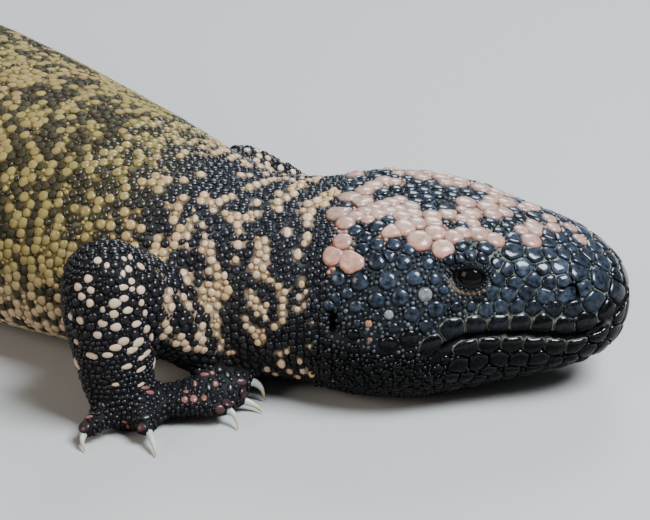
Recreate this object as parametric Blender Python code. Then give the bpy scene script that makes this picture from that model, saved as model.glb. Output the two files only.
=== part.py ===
"""Gila monster, life size, at rest on a flat floor: head turned to its left, right elbow raised.

The body is one long form along a curved midline, measured back from the snout, and is
parted across that line into head, neck, trunk and tail. Lengths are in millimetres until
a mesh is made, and Blender's units are metres.
"""

import math

import bmesh
import bpy
import numpy as np
from mathutils import Vector

MM = 0.001
GAP = 0.3  # between neighbouring pieces
FLOOR = 0.0

# Driving dimensions, as distances back from the snout along the midline
LENGTH = 435.0
HEAD_END = 58.0
NECK_END = 73.0
TRUNK_MIDDLE = 185.0
TAIL_ROOT = 299.0
TAIL_PARTS = (344.0, 390.0, 434.0)
SNOUT_START = 0.9
SHOULDER = 88.0
HIP = 284.0

# Heading of the midline in degrees from +X, towards the snout
HEADING = [
    (0, 29), (50, 29), (66, 25), (84, 13), (104, -1), (125, -8), (160, -9),
    (195, -5), (230, 2), (272, 16), (312, 33), (365, 50), (LENGTH, 64),
]
# Half the width, and the heights of the back, the belly and the widest line
HALF_WIDTH = [
    (0, 0), (1.5, 6), (4, 9.6), (8, 12.6), (14, 15.2), (20, 17), (27, 19), (35, 21.6),
    (43, 23.6), (50, 24), (56, 23.2), (62, 22.2), (70, 22), (80, 23.2), (90, 25.5),
    (105, 28.5), (125, 32), (150, 35.5), (185, 38), (220, 37.5), (250, 33.5), (272, 28.5),
    (288, 23.5), (300, 19.5), (318, 17.2), (345, 16), (375, 14.5), (400, 12.5), (420, 9.5),
    (431, 5.5), (LENGTH, 0),
]
BACK = [
    (0, 18), (1.5, 23), (4, 25.8), (8, 28.4), (14, 31.2), (20, 33.2), (27, 34.8), (35, 36),
    (43, 36.8), (50, 37), (62, 36.8), (70, 37), (80, 39), (90, 41.5), (105, 44.5), (125, 46),
    (150, 47), (185, 47.5), (220, 46.5), (250, 43), (272, 39.5), (288, 36), (300, 32),
    (318, 29), (345, 27), (375, 24.5), (400, 21), (420, 16), (431, 11.5), (LENGTH, 7),
]
BELLY = [
    (0, 18), (1.5, 11.5), (4, 8.6), (8, 6.4), (14, 4.6), (20, 3.2), (27, 1.6), (35, 0),
    (43, -1.2), (68, -1.2), (82, 0.8), (96, 2), (115, 0.6), (135, -1.6), (LENGTH - 45, -1.2),
    (420, 0.2), (431, 2.5), (LENGTH, 7),
]
WIDEST = [(0, 18), (4, 17), (20, 16), (50, 15.5), (70, 15.5), (110, 17), (190, 17), (285, 15),
          (325, 13), (405, 9.5), (LENGTH, 7)]
# Squareness of the section above the widest line: the head's is the boxiest
SQUARE = [(0, 2.6), (12, 3.0), (50, 3.1), (66, 2.6), (90, 2.35), (LENGTH, 2.2)]
SQUARE_BELOW = [(0, 2.5), (50, 2.5), (68, 2.1), (78, 2.1), (96, 2.5), (LENGTH, 2.5)]

# Head details, as (distance from snout, distance from midline, height)
MOUTH_HEIGHT = 16.8
MOUTH_CORNER = 39.0
LIP_SWELL, LIP_REACH = 0.55, 2.2
EYE_RADIUS = 3.3
EYE = (31.0, 15.7, 28.6)
EYE_TILT = math.radians(22)
LID_SIZE = (3.05, 2.2)
LID_THICKNESS = 0.85
NOSTRIL = (11.3, 13.0, 25.0)
EAR = (57.2, 22.6, 21.0)
# Swellings and hollows of the head: place, height, reach
HEAD_FORMS = [
    ((31, 15.5, 34), 1.1, 4.5),
    ((31, 18, 28), -0.7, 3.2),
    ((20, 15, 24), -0.7, 4.0),
    ((11, 12, 26), 0.5, 3.0),
    ((45, 22, 18), 1.2, 8.0),
    ((46, 10, 36), 0.7, 8.0),
]

# Beads, the bony scales that stand up from the skin
LIMB_CLEAR = 5.0
BEAD_FILL = 0.74
HEAD_BEAD, BODY_BEAD, TAIL_BEAD = 0.75, 0.8, 0.7
HEAD_ROWS, HEAD_AROUND = 12, 20
NECK_ROWS, NECK_AROUND = 2, 18
TRUNK_ROWS, TRUNK_AROUND = 12, 18
TAIL_ROWS, TAIL_AROUND = 5, (12, 10, 9)
BELLY_EDGE = math.radians(-16)  # beads end this far below the widest line

# Limbs. Places are (forward, outward, height) from the midline at the limb's station
TOE_RADII, TOE_SIDES = (2.9, 2.6, 2.4, 2.0), 8
CLAW_ROOT, CLAW_TIP, CLAW_SIDES = 1.15, 0.2, 7


def fan(palm, toes):
    """Toe ends and claw tips spread from a palm, from angles and reaches."""
    spread = []
    for angle, reach in toes:
        ahead, out = math.cos(math.radians(angle)), math.sin(math.radians(angle))
        end = (palm[0] + ahead * reach, palm[1] + out * reach, 2.4)
        spread.append((end, (end[0] + ahead * 5.2, end[1] + out * 5.2, 0.4)))
    return spread


LIMBS = {
    "foreleg_right": dict(
        station=SHOULDER, side=-1, root=(12.0, 13.0, 10.0), joint=(-1.8, 33.6, 29.4),
        ankle=(0.4, 34.2, 9.0), palm=(3.0, 34.2, 3.6), radii=(8.4, 8.6, 8.7, 7.4),
        toes=[
            ((-0.5, 44.9, 2.9), (1.0, 48.2, 0.4)), ((10.1, 40.1, 3.2), (14.0, 44.1, 0.4)),
            ((19.9, 27.6, 3.6), (23.6, 28.8, 0.4)), ((20.4, 22.0, 2.5), (25.1, 21.1, 0.4)),
            ((20.6, 18.6, 5.0), (23.3, 16.6, 0.4)),
        ],
    ),
    "foreleg_left": dict(
        station=SHOULDER, side=1, root=(2.8, 9.4, 15), joint=(-11.0, 41.5, 17.0),
        ankle=(6.0, 46.5, 8.5), palm=(12.5, 48.0, 3.6), radii=(10.5, 8.2, 8.2, 7.0),
        toes=fan((12.5, 48.0), [(-52, 14.5), (-22, 16.5), (4, 17.0), (32, 16.0), (72, 13.5)]),
    ),
    "hindleg_right": dict(
        station=HIP, side=-1, root=(0.0, 6.0, 15), joint=(7.0, 38.0, 21.0),
        ankle=(-4.0, 49.5, 9.0), palm=(0.0, 58.0, 3.6), radii=(12.5, 9.6, 9.2, 7.2),
        toes=fan((0.0, 58.0), [(2, 14.5), (27, 17.0), (51, 18.0), (76, 17.0), (112, 13.5)]),
    ),
    "hindleg_left": dict(
        station=HIP, side=1, root=(0.0, 6.0, 15), joint=(10.0, 39.0, 20.5),
        ankle=(0.0, 50.5, 9.0), palm=(4.5, 58.8, 3.6), radii=(12.5, 9.6, 9.2, 7.2),
        toes=fan((4.5, 58.8), [(-6, 14.7), (19, 17.2), (43, 18.2), (68, 16.8), (104, 13.3)]),
    ),
}

COLOURS = {
    "head_skin": ((0.035, 0.04, 0.055), 0.38),
    "body_skin": ((0.36, 0.27, 0.2), 0.55),
    "limb_skin": ((0.05, 0.045, 0.05), 0.5),
    "claw_horn": ((0.62, 0.58, 0.47), 0.35),
    "eye_dark": ((0.008, 0.008, 0.01), 0.08),
}


def smooth(table, s):
    """Value at s on a curve through the table that never overshoots its points."""
    x, y = np.asarray(table, float).T
    step = np.diff(x)
    slope = np.diff(y) / step
    tangent = np.zeros(len(x))
    tangent[0], tangent[-1] = slope[0], slope[-1]
    for i in range(1, len(x) - 1):
        if slope[i - 1] * slope[i] > 0:
            before, after = 2 * step[i] + step[i - 1], step[i] + 2 * step[i - 1]
            tangent[i] = (before + after) / (before / slope[i - 1] + after / slope[i])
    s = min(max(s, x[0]), x[-1])
    i = int(np.clip(np.searchsorted(x, s, side="right") - 1, 0, len(x) - 2))
    u = (s - x[i]) / step[i]
    return (
        (1 + 2 * u) * (1 - u) ** 2 * y[i]
        + u * (1 - u) ** 2 * step[i] * tangent[i]
        + u * u * (3 - 2 * u) * y[i + 1]
        + u * u * (u - 1) * step[i] * tangent[i + 1]
    )


def walk_midline():
    """Midline points every millimetre, walked back from the snout along the headings."""
    places = np.arange(0, LENGTH + 1)
    angles = np.radians([smooth(HEADING, s) for s in places])
    middles = (angles[1:] + angles[:-1]) / 2
    x = np.concatenate([[0], -np.cumsum(np.cos(middles))])
    y = np.concatenate([[0], -np.cumsum(np.sin(middles))])
    return places, x, y, angles


MIDLINE = walk_midline()


def body_place(s, left, height, forward=0.0):
    """World place of a point given from the midline at station s."""
    places, xs, ys, angles = MIDLINE
    x, y, angle = (float(np.interp(s, places, a)) for a in (xs, ys, angles))
    ahead = np.array([math.cos(angle), math.sin(angle)])
    across = np.array([-math.sin(angle), math.cos(angle)])
    flat = np.array([x, y]) + across * left + ahead * forward
    return np.array([flat[0], flat[1], height])


def power(value, exponent):
    return math.copysign(abs(value) ** exponent, value)


def head_swell(s, left, height):
    """How far the head's surface stands out from the plain section, lips included."""
    here = np.array([s, abs(left), height])
    total = 0.0
    for place, amount, reach in HEAD_FORMS:
        total += amount * math.exp(-np.sum((here - place) ** 2) / (2 * reach**2))
    if s < MOUTH_CORNER:
        total += LIP_SWELL * math.exp(-(((height - MOUTH_HEIGHT) / LIP_REACH) ** 2))
    return total


def skin_place(s, angle, grow=0.0):
    """A point of the body's surface. angle runs from the left side over the back."""
    half, back, belly, widest, above, below = (
        smooth(t, s) for t in (HALF_WIDTH, BACK, BELLY, WIDEST, SQUARE, SQUARE_BELOW)
    )
    up = math.sin(angle)
    exponent = 2 / (above if up > 0 else below)
    reach = back - widest if up > 0 else widest - belly
    left = half * power(math.cos(angle), exponent)
    height = widest + reach * power(up, exponent)
    out = np.array([left, height - widest])
    out /= max(np.linalg.norm(out), 1e-6)
    stand = grow + (head_swell(s, left, height) if s < HEAD_END else 0.0)
    left += out[0] * stand
    height += out[1] * stand
    return body_place(s, left, max(height, FLOOR - grow))


def new_object(name, mesh, material=None):
    mesh.name = name
    obj = bpy.data.objects.new(name, mesh)
    bpy.context.scene.collection.objects.link(obj)
    if material:
        mesh.materials.clear()
        mesh.materials.append(bpy.data.materials[material])
    return obj


def mesh_of(bm):
    """A mesh in metres from a bmesh in millimetres, with its faces pointing out."""
    bmesh.ops.recalc_face_normals(bm, faces=bm.faces)
    for vert in bm.verts:
        vert.co *= MM
    mesh = bpy.data.meshes.new("piece")
    bm.to_mesh(mesh)
    bm.free()
    return mesh


def raise_bead(bm, corners, outward, height):
    """One bead over a six-sided cell: a sloping rim and a low crown."""
    centre = sum((v.co for v in corners), Vector()) / len(corners)
    rim = [bm.verts.new(centre + (v.co - centre) * BEAD_FILL + outward * height) for v in corners]
    for i, vert in enumerate(corners):
        j = (i + 1) % len(corners)
        bm.faces.new((vert, corners[j], rim[j], rim[i]))
    bm.faces.new(rim)


def beaded_form(start, end, rows, around, bead, keeps_clear, grow=0.0):
    """The body between two stations, as rows of six-sided cells in staggered rings."""
    bm = bmesh.new()
    pitch = (end - start) / rows
    points = 2 * around
    rings = []
    for line in range(rows + 1):
        inner = 0 < line < rows
        ring = []
        for i in range(points):
            wave = (1 if i % 2 == line % 2 else -1) * pitch / 6 if inner else 0.0
            angle = 2 * math.pi * i / points
            ring.append(bm.verts.new(skin_place(start + line * pitch + wave, angle, grow)))
        rings.append(ring)
    for row in range(rows):
        for cell in range(around):
            first = 2 * cell + row % 2
            places = [(first + k) % points for k in range(3)]
            corners = [rings[row][i] for i in places]
            corners += [rings[row + 1][i] for i in reversed(places)]
            angle = 2 * math.pi * (first + 1) / points
            station = start + (row + 0.5) * pitch
            centre = sum((v.co for v in corners), Vector()) / 6
            low = math.sin(angle) < math.sin(BELLY_EDGE)
            if low or keeps_clear(centre):
                for k in range(1, 5):
                    bm.faces.new((corners[0], corners[k], corners[k + 1]))
                continue
            axis = Vector(body_place(station, 0, smooth(WIDEST, station)))
            outward = (corners[2].co - corners[0].co).cross(corners[4].co - corners[1].co)
            outward.normalize()
            if outward.dot(centre - axis) < 0:
                outward.negate()
            raise_bead(bm, corners, outward, bead)
    bm.faces.new(rings[0])
    bm.faces.new(rings[-1])
    return mesh_of(bm)


def plain_body(start, end, grow, rows=17, around=45):
    """A length of the body with no beads, grown outwards, to cut a limb's root with."""
    rings = []
    for row in range(rows + 1):
        station = start + (end - start) * row / rows
        turns = [2 * math.pi * (k + 0.37) / around for k in range(around)]
        rings.append([Vector(skin_place(station, turn, grow)) for turn in turns])
    return loft(rings)


def tube(points, radii, sides, flatten=1.0, facing=None):
    """A closed tube through the points. flatten squeezes its height against its width,
    and facing turns its first end away from the line of its points."""
    points = [Vector(p) for p in points]
    rings = []
    for i, (point, radius) in enumerate(zip(points, radii)):
        ahead = (points[min(i + 1, len(points) - 1)] - points[max(i - 1, 0)]).normalized()
        if i == 0 and facing is not None:
            ahead = facing
        reference = Vector((0, 0, 1)) if abs(ahead.z) < 0.8 else Vector((0, 1, 0))
        across = ahead.cross(reference).normalized()
        up = across.cross(ahead).normalized()
        ring = []
        for k in range(sides):
            angle = 2 * math.pi * (k + 0.5) / sides
            offset = across * math.cos(angle) + up * math.sin(angle) * flatten
            ring.append(point + offset * radius)
        rings.append(ring)
    return loft(rings)


def round_start(points, radii):
    """The points and radii of a tube with a rounded end put before its first point."""
    back = (points[0] - points[1]).normalized()
    added = []
    for degrees in (64, 32):
        turn = math.radians(degrees)
        added.append((points[0] + back * radii[0] * math.sin(turn), radii[0] * math.cos(turn)))
    return [p for p, _ in added] + points, [r for _, r in added] + radii


def leg_forms(root, joint, ankle, radii, sides=12):
    """The upper and lower leg, and the lower one grown by the gap to cut the upper."""
    top, bend, below, end = radii
    ahead = (ankle - joint).normalized()
    upper = tube([root, root.lerp(joint, 0.5), joint], [top, (top + bend) / 2, bend * 0.97], sides)
    line = [joint, joint.lerp(ankle, 0.38), ankle - ahead * GAP]
    lower = tube(*round_start(line, [bend, below, end]), sides)
    longer = line[:2] + [ankle + ahead * 2]
    grown = tube(*round_start(longer, [bend + GAP, below + GAP, end + GAP]), sides)
    return upper, lower, grown


def loft(rings):
    """A closed form through rings of points, with flat ends."""
    bm = bmesh.new()
    rows = [[bm.verts.new(p) for p in ring] for ring in rings]
    count = len(rows[0])
    for before, after in zip(rows, rows[1:]):
        for k in range(count):
            j = (k + 1) % count
            bm.faces.new((before[k], before[j], after[j], after[k]))
    bm.faces.new(rows[0])
    bm.faces.new(rows[-1])
    return mesh_of(bm)


def ellipsoid(centre, sizes, heading=0.0, segments=12, rings=8):
    bm = bmesh.new()
    bmesh.ops.create_uvsphere(bm, u_segments=segments, v_segments=rings, radius=1.0)
    turn = np.array([[math.cos(heading), -math.sin(heading)], [math.sin(heading), math.cos(heading)]])
    for vert in bm.verts:
        flat = turn @ np.array([vert.co.x * sizes[0], vert.co.y * sizes[1]])
        vert.co = Vector((flat[0], flat[1], vert.co.z * sizes[2])) + Vector(centre)
    return mesh_of(bm)


def combine(obj, tool, operation, solver="EXACT"):
    """Applies one Boolean to obj. tool is an object or a collection, and is used up."""
    modifier = obj.modifiers.new("combine", "BOOLEAN")
    modifier.operation = operation
    modifier.solver = solver
    several = isinstance(tool, bpy.types.Collection)
    if several:
        modifier.operand_type = "COLLECTION"
        modifier.collection = tool
    else:
        modifier.object = tool
    graph = bpy.context.evaluated_depsgraph_get()
    result = bpy.data.meshes.new_from_object(obj.evaluated_get(graph))
    obj.modifiers.clear()
    materials = list(obj.data.materials)
    obj.data = result
    obj.data.materials.clear()
    for material in materials:
        obj.data.materials.append(material)
    for used in list(tool.objects) if several else [tool]:
        bpy.data.objects.remove(used, do_unlink=True)
    if several:
        bpy.data.collections.remove(tool)
    keep_largest(obj)


def keep_largest(obj):
    """Keeps the largest closed surface, so that no loose scrap stays."""
    bm = bmesh.new()
    bm.from_mesh(obj.data)
    bmesh.ops.dissolve_degenerate(bm, edges=bm.edges, dist=0.0005 * MM)
    loose = set(bm.faces)
    islands = []
    while loose:
        island, queue = set(), [loose.pop()]
        while queue:
            face = queue.pop()
            island.add(face)
            for edge in face.edges:
                for other in edge.link_faces:
                    if other in loose:
                        loose.remove(other)
                        queue.append(other)
        islands.append(island)
    islands.sort(key=lambda faces: sum(f.calc_area() for f in faces), reverse=True)
    for island in islands[1:]:
        bmesh.ops.delete(bm, geom=list(island), context="FACES")
    bmesh.ops.triangulate(bm, faces=bm.faces)
    bm.to_mesh(obj.data)
    bm.free()


def union(obj, meshes, solver="EXACT"):
    """Fuses closed meshes into obj."""
    group = bpy.data.collections.new("fused")
    bpy.context.scene.collection.children.link(group)
    for mesh in meshes:
        piece = bpy.data.objects.new("fused_piece", mesh)
        group.objects.link(piece)
    combine(obj, group, "UNION", solver)


def cut(obj, mesh, solver="EXACT"):
    combine(obj, new_object("cutter", mesh), "DIFFERENCE", solver)


def floor_block(centre, reach):
    """A block under the floor, to level what stands on it."""
    bm = bmesh.new()
    bmesh.ops.create_cube(bm, size=2 * reach)
    for vert in bm.verts:
        vert.co += Vector((centre[0], centre[1], FLOOR - reach))
    return mesh_of(bm)


def limb_place(limb, local, grow=0.0):
    """World place of (forward, outward, height) at a limb's station."""
    forward, outward, height = local
    return Vector(body_place(limb["station"], limb["side"] * (outward + grow), height, forward))


def near_limb_root(point):
    """Whether a cell lies under a limb, where the body is left plain."""
    for limb in LIMBS.values():
        root, joint = limb_place(limb, limb["root"]), limb_place(limb, limb["joint"])
        along = joint - root
        share = min(max((point - root).dot(along) / along.length_squared, 0), 1)
        if (point - root - along * share).length < max(limb["radii"]) + LIMB_CLEAR:
            return True
    return False


def mouth_cutter(grow):
    """Everything below the mouth line and in front of the throat, as one prism."""
    line = [
        (-8, MOUTH_HEIGHT + 0.4), (6, MOUTH_HEIGHT), (22, MOUTH_HEIGHT - 0.4),
        (32, MOUTH_HEIGHT + 0.2), (MOUTH_CORNER, MOUTH_HEIGHT - 0.8), (49, 11.5), (80, 7.5),
    ]
    outline = [(s, z + grow) for s, z in line] + [(80, -6), (-8, -6)]
    bm = bmesh.new()
    width = 45
    sides = [[bm.verts.new(head_place(s, y, z)) for s, z in outline] for y in (-width, width)]
    for k in range(len(outline)):
        j = (k + 1) % len(outline)
        bm.faces.new((sides[0][k], sides[0][j], sides[1][j], sides[1][k]))
    for side in sides:
        bm.faces.new(side)
    bmesh.ops.triangulate(bm, faces=bm.faces)
    return mesh_of(bm)


def head_place(s, left, height):
    """As body_place, but on the head's own straight axis at any distance."""
    anchor = body_place(0, left, height)
    angle = math.radians(HEADING[0][1])
    return anchor - np.array([math.cos(angle), math.sin(angle), 0]) * s


def lid_ring(side):
    """Thick eyelids: a closed ring around the opening of the eye."""
    s, left, height = EYE
    ahead = head_place(s - 1, 0, 0) - head_place(s, 0, 0)
    across = (head_place(s, 1, 0) - head_place(s, 0, 0)) * side
    out = across * math.cos(EYE_TILT) + np.array([0, 0, math.sin(EYE_TILT)])
    up = np.array([0, 0, math.cos(EYE_TILT)]) - across * math.sin(EYE_TILT)
    centre = head_place(s, left * side, height) + out * (EYE_RADIUS - 1.15)
    segments, sides = 14, 6
    bm = bmesh.new()
    rings = []
    for i in range(segments):
        turn = 2 * math.pi * i / segments
        spoke = ahead * math.cos(turn) * LID_SIZE[0] + up * math.sin(turn) * LID_SIZE[1]
        middle = centre + spoke * 1.12
        radial = spoke / np.linalg.norm(spoke)
        ring = []
        for k in range(sides):
            angle = 2 * math.pi * k / sides
            offset = radial * math.cos(angle) + out * math.sin(angle)
            ring.append(bm.verts.new(middle + offset * LID_THICKNESS))
        rings.append(ring)
    for i in range(segments):
        for k in range(sides):
            j, n = (k + 1) % sides, (i + 1) % segments
            bm.faces.new((rings[i][k], rings[i][j], rings[n][j], rings[n][k]))
    return mesh_of(bm)


def make_head():
    mesh = beaded_form(SNOUT_START, HEAD_END - GAP / 2, HEAD_ROWS, HEAD_AROUND, HEAD_BEAD, near_face)
    head = new_object("head", mesh, "head_skin")
    jaw = new_object("lower_jaw", mesh.copy(), "head_skin")
    combine(jaw, new_object("cutter", mouth_cutter(0)), "INTERSECT")
    cut(head, mouth_cutter(GAP))
    union(head, [lid_ring(side) for side in (-1, 1)])
    heading = math.radians(HEADING[0][1])
    for side, word in ((-1, "right"), (1, "left")):
        s, left, height = EYE
        centre = head_place(s, left * side, height)
        socket = EYE_RADIUS + GAP
        cut(head, ellipsoid(centre, (socket,) * 3, heading, 20, 12))
        s, left, height = NOSTRIL
        cut(head, ellipsoid(head_place(s, left * side, height), (1.3, 1.7, 1.0), heading, 8, 6))
        s, left, height = EAR
        cut(head, ellipsoid(head_place(s - 1.4, left * side, height), (0.8, 1.8, 4.2), heading, 8, 6))
        eye = ellipsoid(centre, (EYE_RADIUS,) * 3, heading, 12, 8)
        new_object(f"eye_{word}", eye, "eye_dark")


def near_face(point):
    """Whether a cell of the head lies on the eye or on the snout's blunt front."""
    for side in (-1, 1):
        eye = Vector(head_place(EYE[0], (EYE[1] + 2) * side, EYE[2]))
        if (point - eye).length < 4.6:
            return True
    return (point - Vector(head_place(0, 0, MOUTH_HEIGHT))).length < 4


def make_body():
    parts = [
        ("neck", HEAD_END, NECK_END, NECK_ROWS, NECK_AROUND, BODY_BEAD),
        ("trunk_front", NECK_END, TRUNK_MIDDLE, TRUNK_ROWS, TRUNK_AROUND, BODY_BEAD),
        ("trunk_rear", TRUNK_MIDDLE, TAIL_ROOT, TRUNK_ROWS, TRUNK_AROUND, BODY_BEAD),
    ]
    start = TAIL_ROOT
    for i, end in enumerate(TAIL_PARTS):
        name = ("tail_root", "tail_middle", "tail_tip")[i]
        parts.append((name, start, end, TAIL_ROWS, TAIL_AROUND[i], TAIL_BEAD))
        start = end
    for name, start, end, rows, around, bead in parts:
        last = end + (0 if end == TAIL_PARTS[-1] else -GAP / 2)
        mesh = beaded_form(start + GAP / 2, last, rows, around, bead, near_limb_root)
        new_object(name, mesh, "body_skin")


def make_foot(name, limb):
    palm, ankle = limb_place(limb, limb["palm"]), limb_place(limb, limb["ankle"])
    toes = [[limb_place(limb, place) for place in toe] for toe in limb["toes"]]
    middle = sum((end - palm for end, _ in toes), Vector())
    heading = math.atan2(middle.y, middle.x)
    foot = new_object(f"{name}_foot", ellipsoid(palm, (7.2, 6.6, 4.7), heading, 14, 8), "limb_skin")
    radius = limb["radii"][3]
    up = (limb_place(limb, limb["joint"]) - ankle).normalized()
    stub = [palm + Vector((0, 0, -0.6)), (palm + ankle) / 2 - up * 1.5, ankle - up * 1.5, ankle]
    pieces = [tube(stub, [radius * 0.7, radius * 0.92, radius, radius], 12)]
    directions = []
    for end, _ in toes:
        line = [palm.lerp(end, share) for share in (0.25, 0.55, 0.8, 1.0)]
        line[1].z += 0.8
        line[2].z += 0.6
        pieces.append(tube(line, TOE_RADII, TOE_SIDES, flatten=0.95))
        directions.append((line[3] - line[2]).normalized())
    union(foot, pieces, "MANIFOLD")
    cut(foot, floor_block(palm, 60), "MANIFOLD")
    shank = [ankle + up * 0.05, ankle + up * 14]
    cut(foot, tube(shank, [radius + 0.4, limb["radii"][2] + 0.8], 14), "MANIFOLD")
    for i, ((end, tip), ahead) in enumerate(zip(toes, directions)):
        start = end + ahead * GAP
        bend = start + ahead * (tip - start).length * 0.55
        points, radii = [], []
        for k in range(5):
            t = k / 4
            points.append(start * (1 - t) ** 2 + bend * 2 * t * (1 - t) + tip * t * t)
            radii.append(CLAW_ROOT + (CLAW_TIP - CLAW_ROOT) * t**1.25)
        claw = tube(points, radii, CLAW_SIDES, facing=ahead)
        new_object(f"{name}_claw_{i + 1}", claw, "claw_horn")


def make_limb(name, limb):
    root, joint, ankle = (limb_place(limb, limb[k]) for k in ("root", "joint", "ankle"))
    upper_form, lower_form, cutter = leg_forms(root, joint, ankle, limb["radii"])
    upper = new_object(f"{name}_upper", upper_form, "limb_skin")
    new_object(f"{name}_lower", lower_form, "limb_skin")
    cut(upper, cutter, "MANIFOLD")
    cut(upper, plain_body(limb["station"] - 30, limb["station"] + 30, 1.6 * GAP))
    make_foot(name, limb)


def make_materials():
    for name, (colour, roughness) in COLOURS.items():
        material = bpy.data.materials.new(name)
        material.use_nodes = True
        shader = material.node_tree.nodes["Principled BSDF"]
        shader.inputs["Base Color"].default_value = (*colour, 1)
        shader.inputs["Roughness"].default_value = roughness
        shader.inputs["Metallic"].default_value = 0


def centre_on_floor():
    """Parents every piece to one empty, set so that the whole stands centred on the origin."""
    pieces = [o for o in bpy.context.scene.objects if o.type == "MESH"]
    corners = np.array([v.co for o in pieces for v in o.data.vertices])
    low, high = corners.min(axis=0), corners.max(axis=0)
    stand = bpy.data.objects.new("gila_monster", None)
    bpy.context.scene.collection.objects.link(stand)
    stand.location = (-(low[0] + high[0]) / 2, -(low[1] + high[1]) / 2, -low[2])
    for piece in pieces:
        piece.parent = stand
        piece.data.shade_smooth()
        piece.data.set_sharp_from_angle(angle=math.radians(50))


def main():
    for obj in list(bpy.data.objects):
        bpy.data.objects.remove(obj, do_unlink=True)
    make_materials()
    make_head()
    make_body()
    for name, limb in LIMBS.items():
        make_limb(name, limb)
    centre_on_floor()


main()
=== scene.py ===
import math

import bmesh
import bpy
import numpy as np
from mathutils import Matrix, Vector, noise
from mathutils.bvhtree import BVHTree
from mathutils.kdtree import KDTree


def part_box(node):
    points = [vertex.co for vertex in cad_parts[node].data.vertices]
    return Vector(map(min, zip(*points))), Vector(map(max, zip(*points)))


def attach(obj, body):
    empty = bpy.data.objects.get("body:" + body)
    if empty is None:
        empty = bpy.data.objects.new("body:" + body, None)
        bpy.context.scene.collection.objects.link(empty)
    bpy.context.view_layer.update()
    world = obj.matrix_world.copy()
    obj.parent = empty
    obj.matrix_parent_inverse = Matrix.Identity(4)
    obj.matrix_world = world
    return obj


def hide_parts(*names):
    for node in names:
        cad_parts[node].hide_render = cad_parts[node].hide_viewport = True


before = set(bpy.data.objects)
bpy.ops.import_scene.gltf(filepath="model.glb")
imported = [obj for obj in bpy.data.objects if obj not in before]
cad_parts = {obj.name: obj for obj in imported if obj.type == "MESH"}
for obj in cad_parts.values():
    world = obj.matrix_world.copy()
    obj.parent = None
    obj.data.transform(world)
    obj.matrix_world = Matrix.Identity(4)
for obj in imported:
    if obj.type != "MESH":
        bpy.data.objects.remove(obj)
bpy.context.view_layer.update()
print("frame loaded")

# The animal's form: lengths in millimetres, stations measured back from the snout
form = {
    "length": 435.0,
    "heading": [  # degrees from +X, towards the snout
        (0, 29), (50, 29), (66, 25), (84, 13), (104, -1), (125, -8), (160, -9),
        (195, -5), (230, 2), (272, 16), (312, 33), (365, 50), (435, 64),
    ],
    "halfWidth": [
        (0, 0), (1.5, 6), (4, 9.6), (8, 12.6), (14, 15.2), (20, 17), (27, 19), (35, 21.6),
        (43, 23.6), (50, 24), (56, 23.2), (62, 22.2), (70, 22), (80, 23.2), (90, 25.5),
        (105, 28.5), (125, 32), (150, 35.5), (185, 38), (220, 37.5), (250, 33.5),
        (272, 28.5), (288, 23.5), (300, 19.5), (318, 17.2), (345, 16), (375, 14.5),
        (400, 12.5), (420, 9.5), (431, 5.5), (435, 0),
    ],
    "back": [
        (0, 18), (1.5, 23), (4, 25.8), (8, 28.4), (14, 31.2), (20, 33.2), (27, 34.8),
        (35, 36), (43, 36.8), (50, 37), (62, 36.8), (70, 37), (80, 39), (90, 41.5),
        (105, 44.5), (125, 46), (150, 47), (185, 47.5), (220, 46.5), (250, 43),
        (272, 39.5), (288, 36), (300, 32), (318, 29), (345, 27), (375, 24.5), (400, 21),
        (420, 16), (431, 11.5), (435, 7),
    ],
    "belly": [
        (0, 18), (1.5, 11.5), (4, 8.6), (8, 6.4), (14, 4.6), (20, 3.2), (27, 1.6), (35, 0),
        (43, -1.2), (68, -1.2), (82, 0.8), (96, 2), (115, 0.6), (135, -1.6), (390, -1.2),
        (420, 0.2), (431, 2.5), (435, 7),
    ],
    "widest": [(0, 18), (4, 17), (20, 16), (50, 15.5), (70, 15.5), (110, 17), (190, 17),
               (285, 15), (325, 13), (405, 9.5), (435, 7)],
    "square": [(0, 2.6), (12, 3.0), (50, 3.1), (66, 2.6), (90, 2.35), (435, 2.2)],
    "squareBelow": [(0, 2.5), (50, 2.5), (68, 2.1), (78, 2.1), (96, 2.5), (435, 2.5)],
    "under": 0.2,  # the skin lies this far inside the solids' plain surface
}
head = {
    "end": 57.5,
    "mouth": [(0, 20), (3.5, 18.4), (5, 17.1), (7.5, 16.3), (10.5, 16), (15, 16.7), (22, 17.7),
              (30, 18.3), (33.5, 17.8), (35.5, 16.8), (38, 14.8), (42, 12)],
    "mouthEnd": 38.0,
    "eye": (31.0, 15.7, 28.6),
    "eyeRadius": 3.3,
    "eyeTilt": math.radians(22),
    "opening": (2.5, 1.55),
    "lids": [  # distance outside the opening, and height over the eyeball's edge
        (-2.5, -1.6), (-0.5, -0.9), (-0.15, -0.15), (0.0, 0.16), (0.22, 0.36), (0.5, 0.38), (0.85, 0.16),
        (1.05, -0.04), (1.35, 0.16), (1.75, 0.2), (2.05, -0.02), (2.4, 0.1),
    ],
    "lidFade": (1.0, 2.9),
    "nostril": (11.3, 13.0, 25.0),
    "ear": (57.0, 22.4, 21.0),
    "forms": [  # swellings and hollows: place, height, reach
        ((31, 15.5, 34), 1.1, 4.5),
        ((31, 18, 28), -0.7, 3.2),
        ((20, 15, 24), -0.7, 4.0),
        ((11, 12, 26), 0.5, 3.0),
        ((45, 22, 18), 1.2, 8.0),
        ((46, 10, 36), 0.7, 8.0),
    ],
    "lip": (0.55, 2.2),
}
feet = {
    "palm": (5.6, 5.0),
    "palmFlat": 0.72,
    "toe": [2.9, 2.45, 2.5, 2.15, 1.85],
    "toeShares": (0.2, 0.42, 0.62, 0.82, 1.0),
    "toeRise": (0, 0.6, 0.9, 0.5, 0),
}


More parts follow.
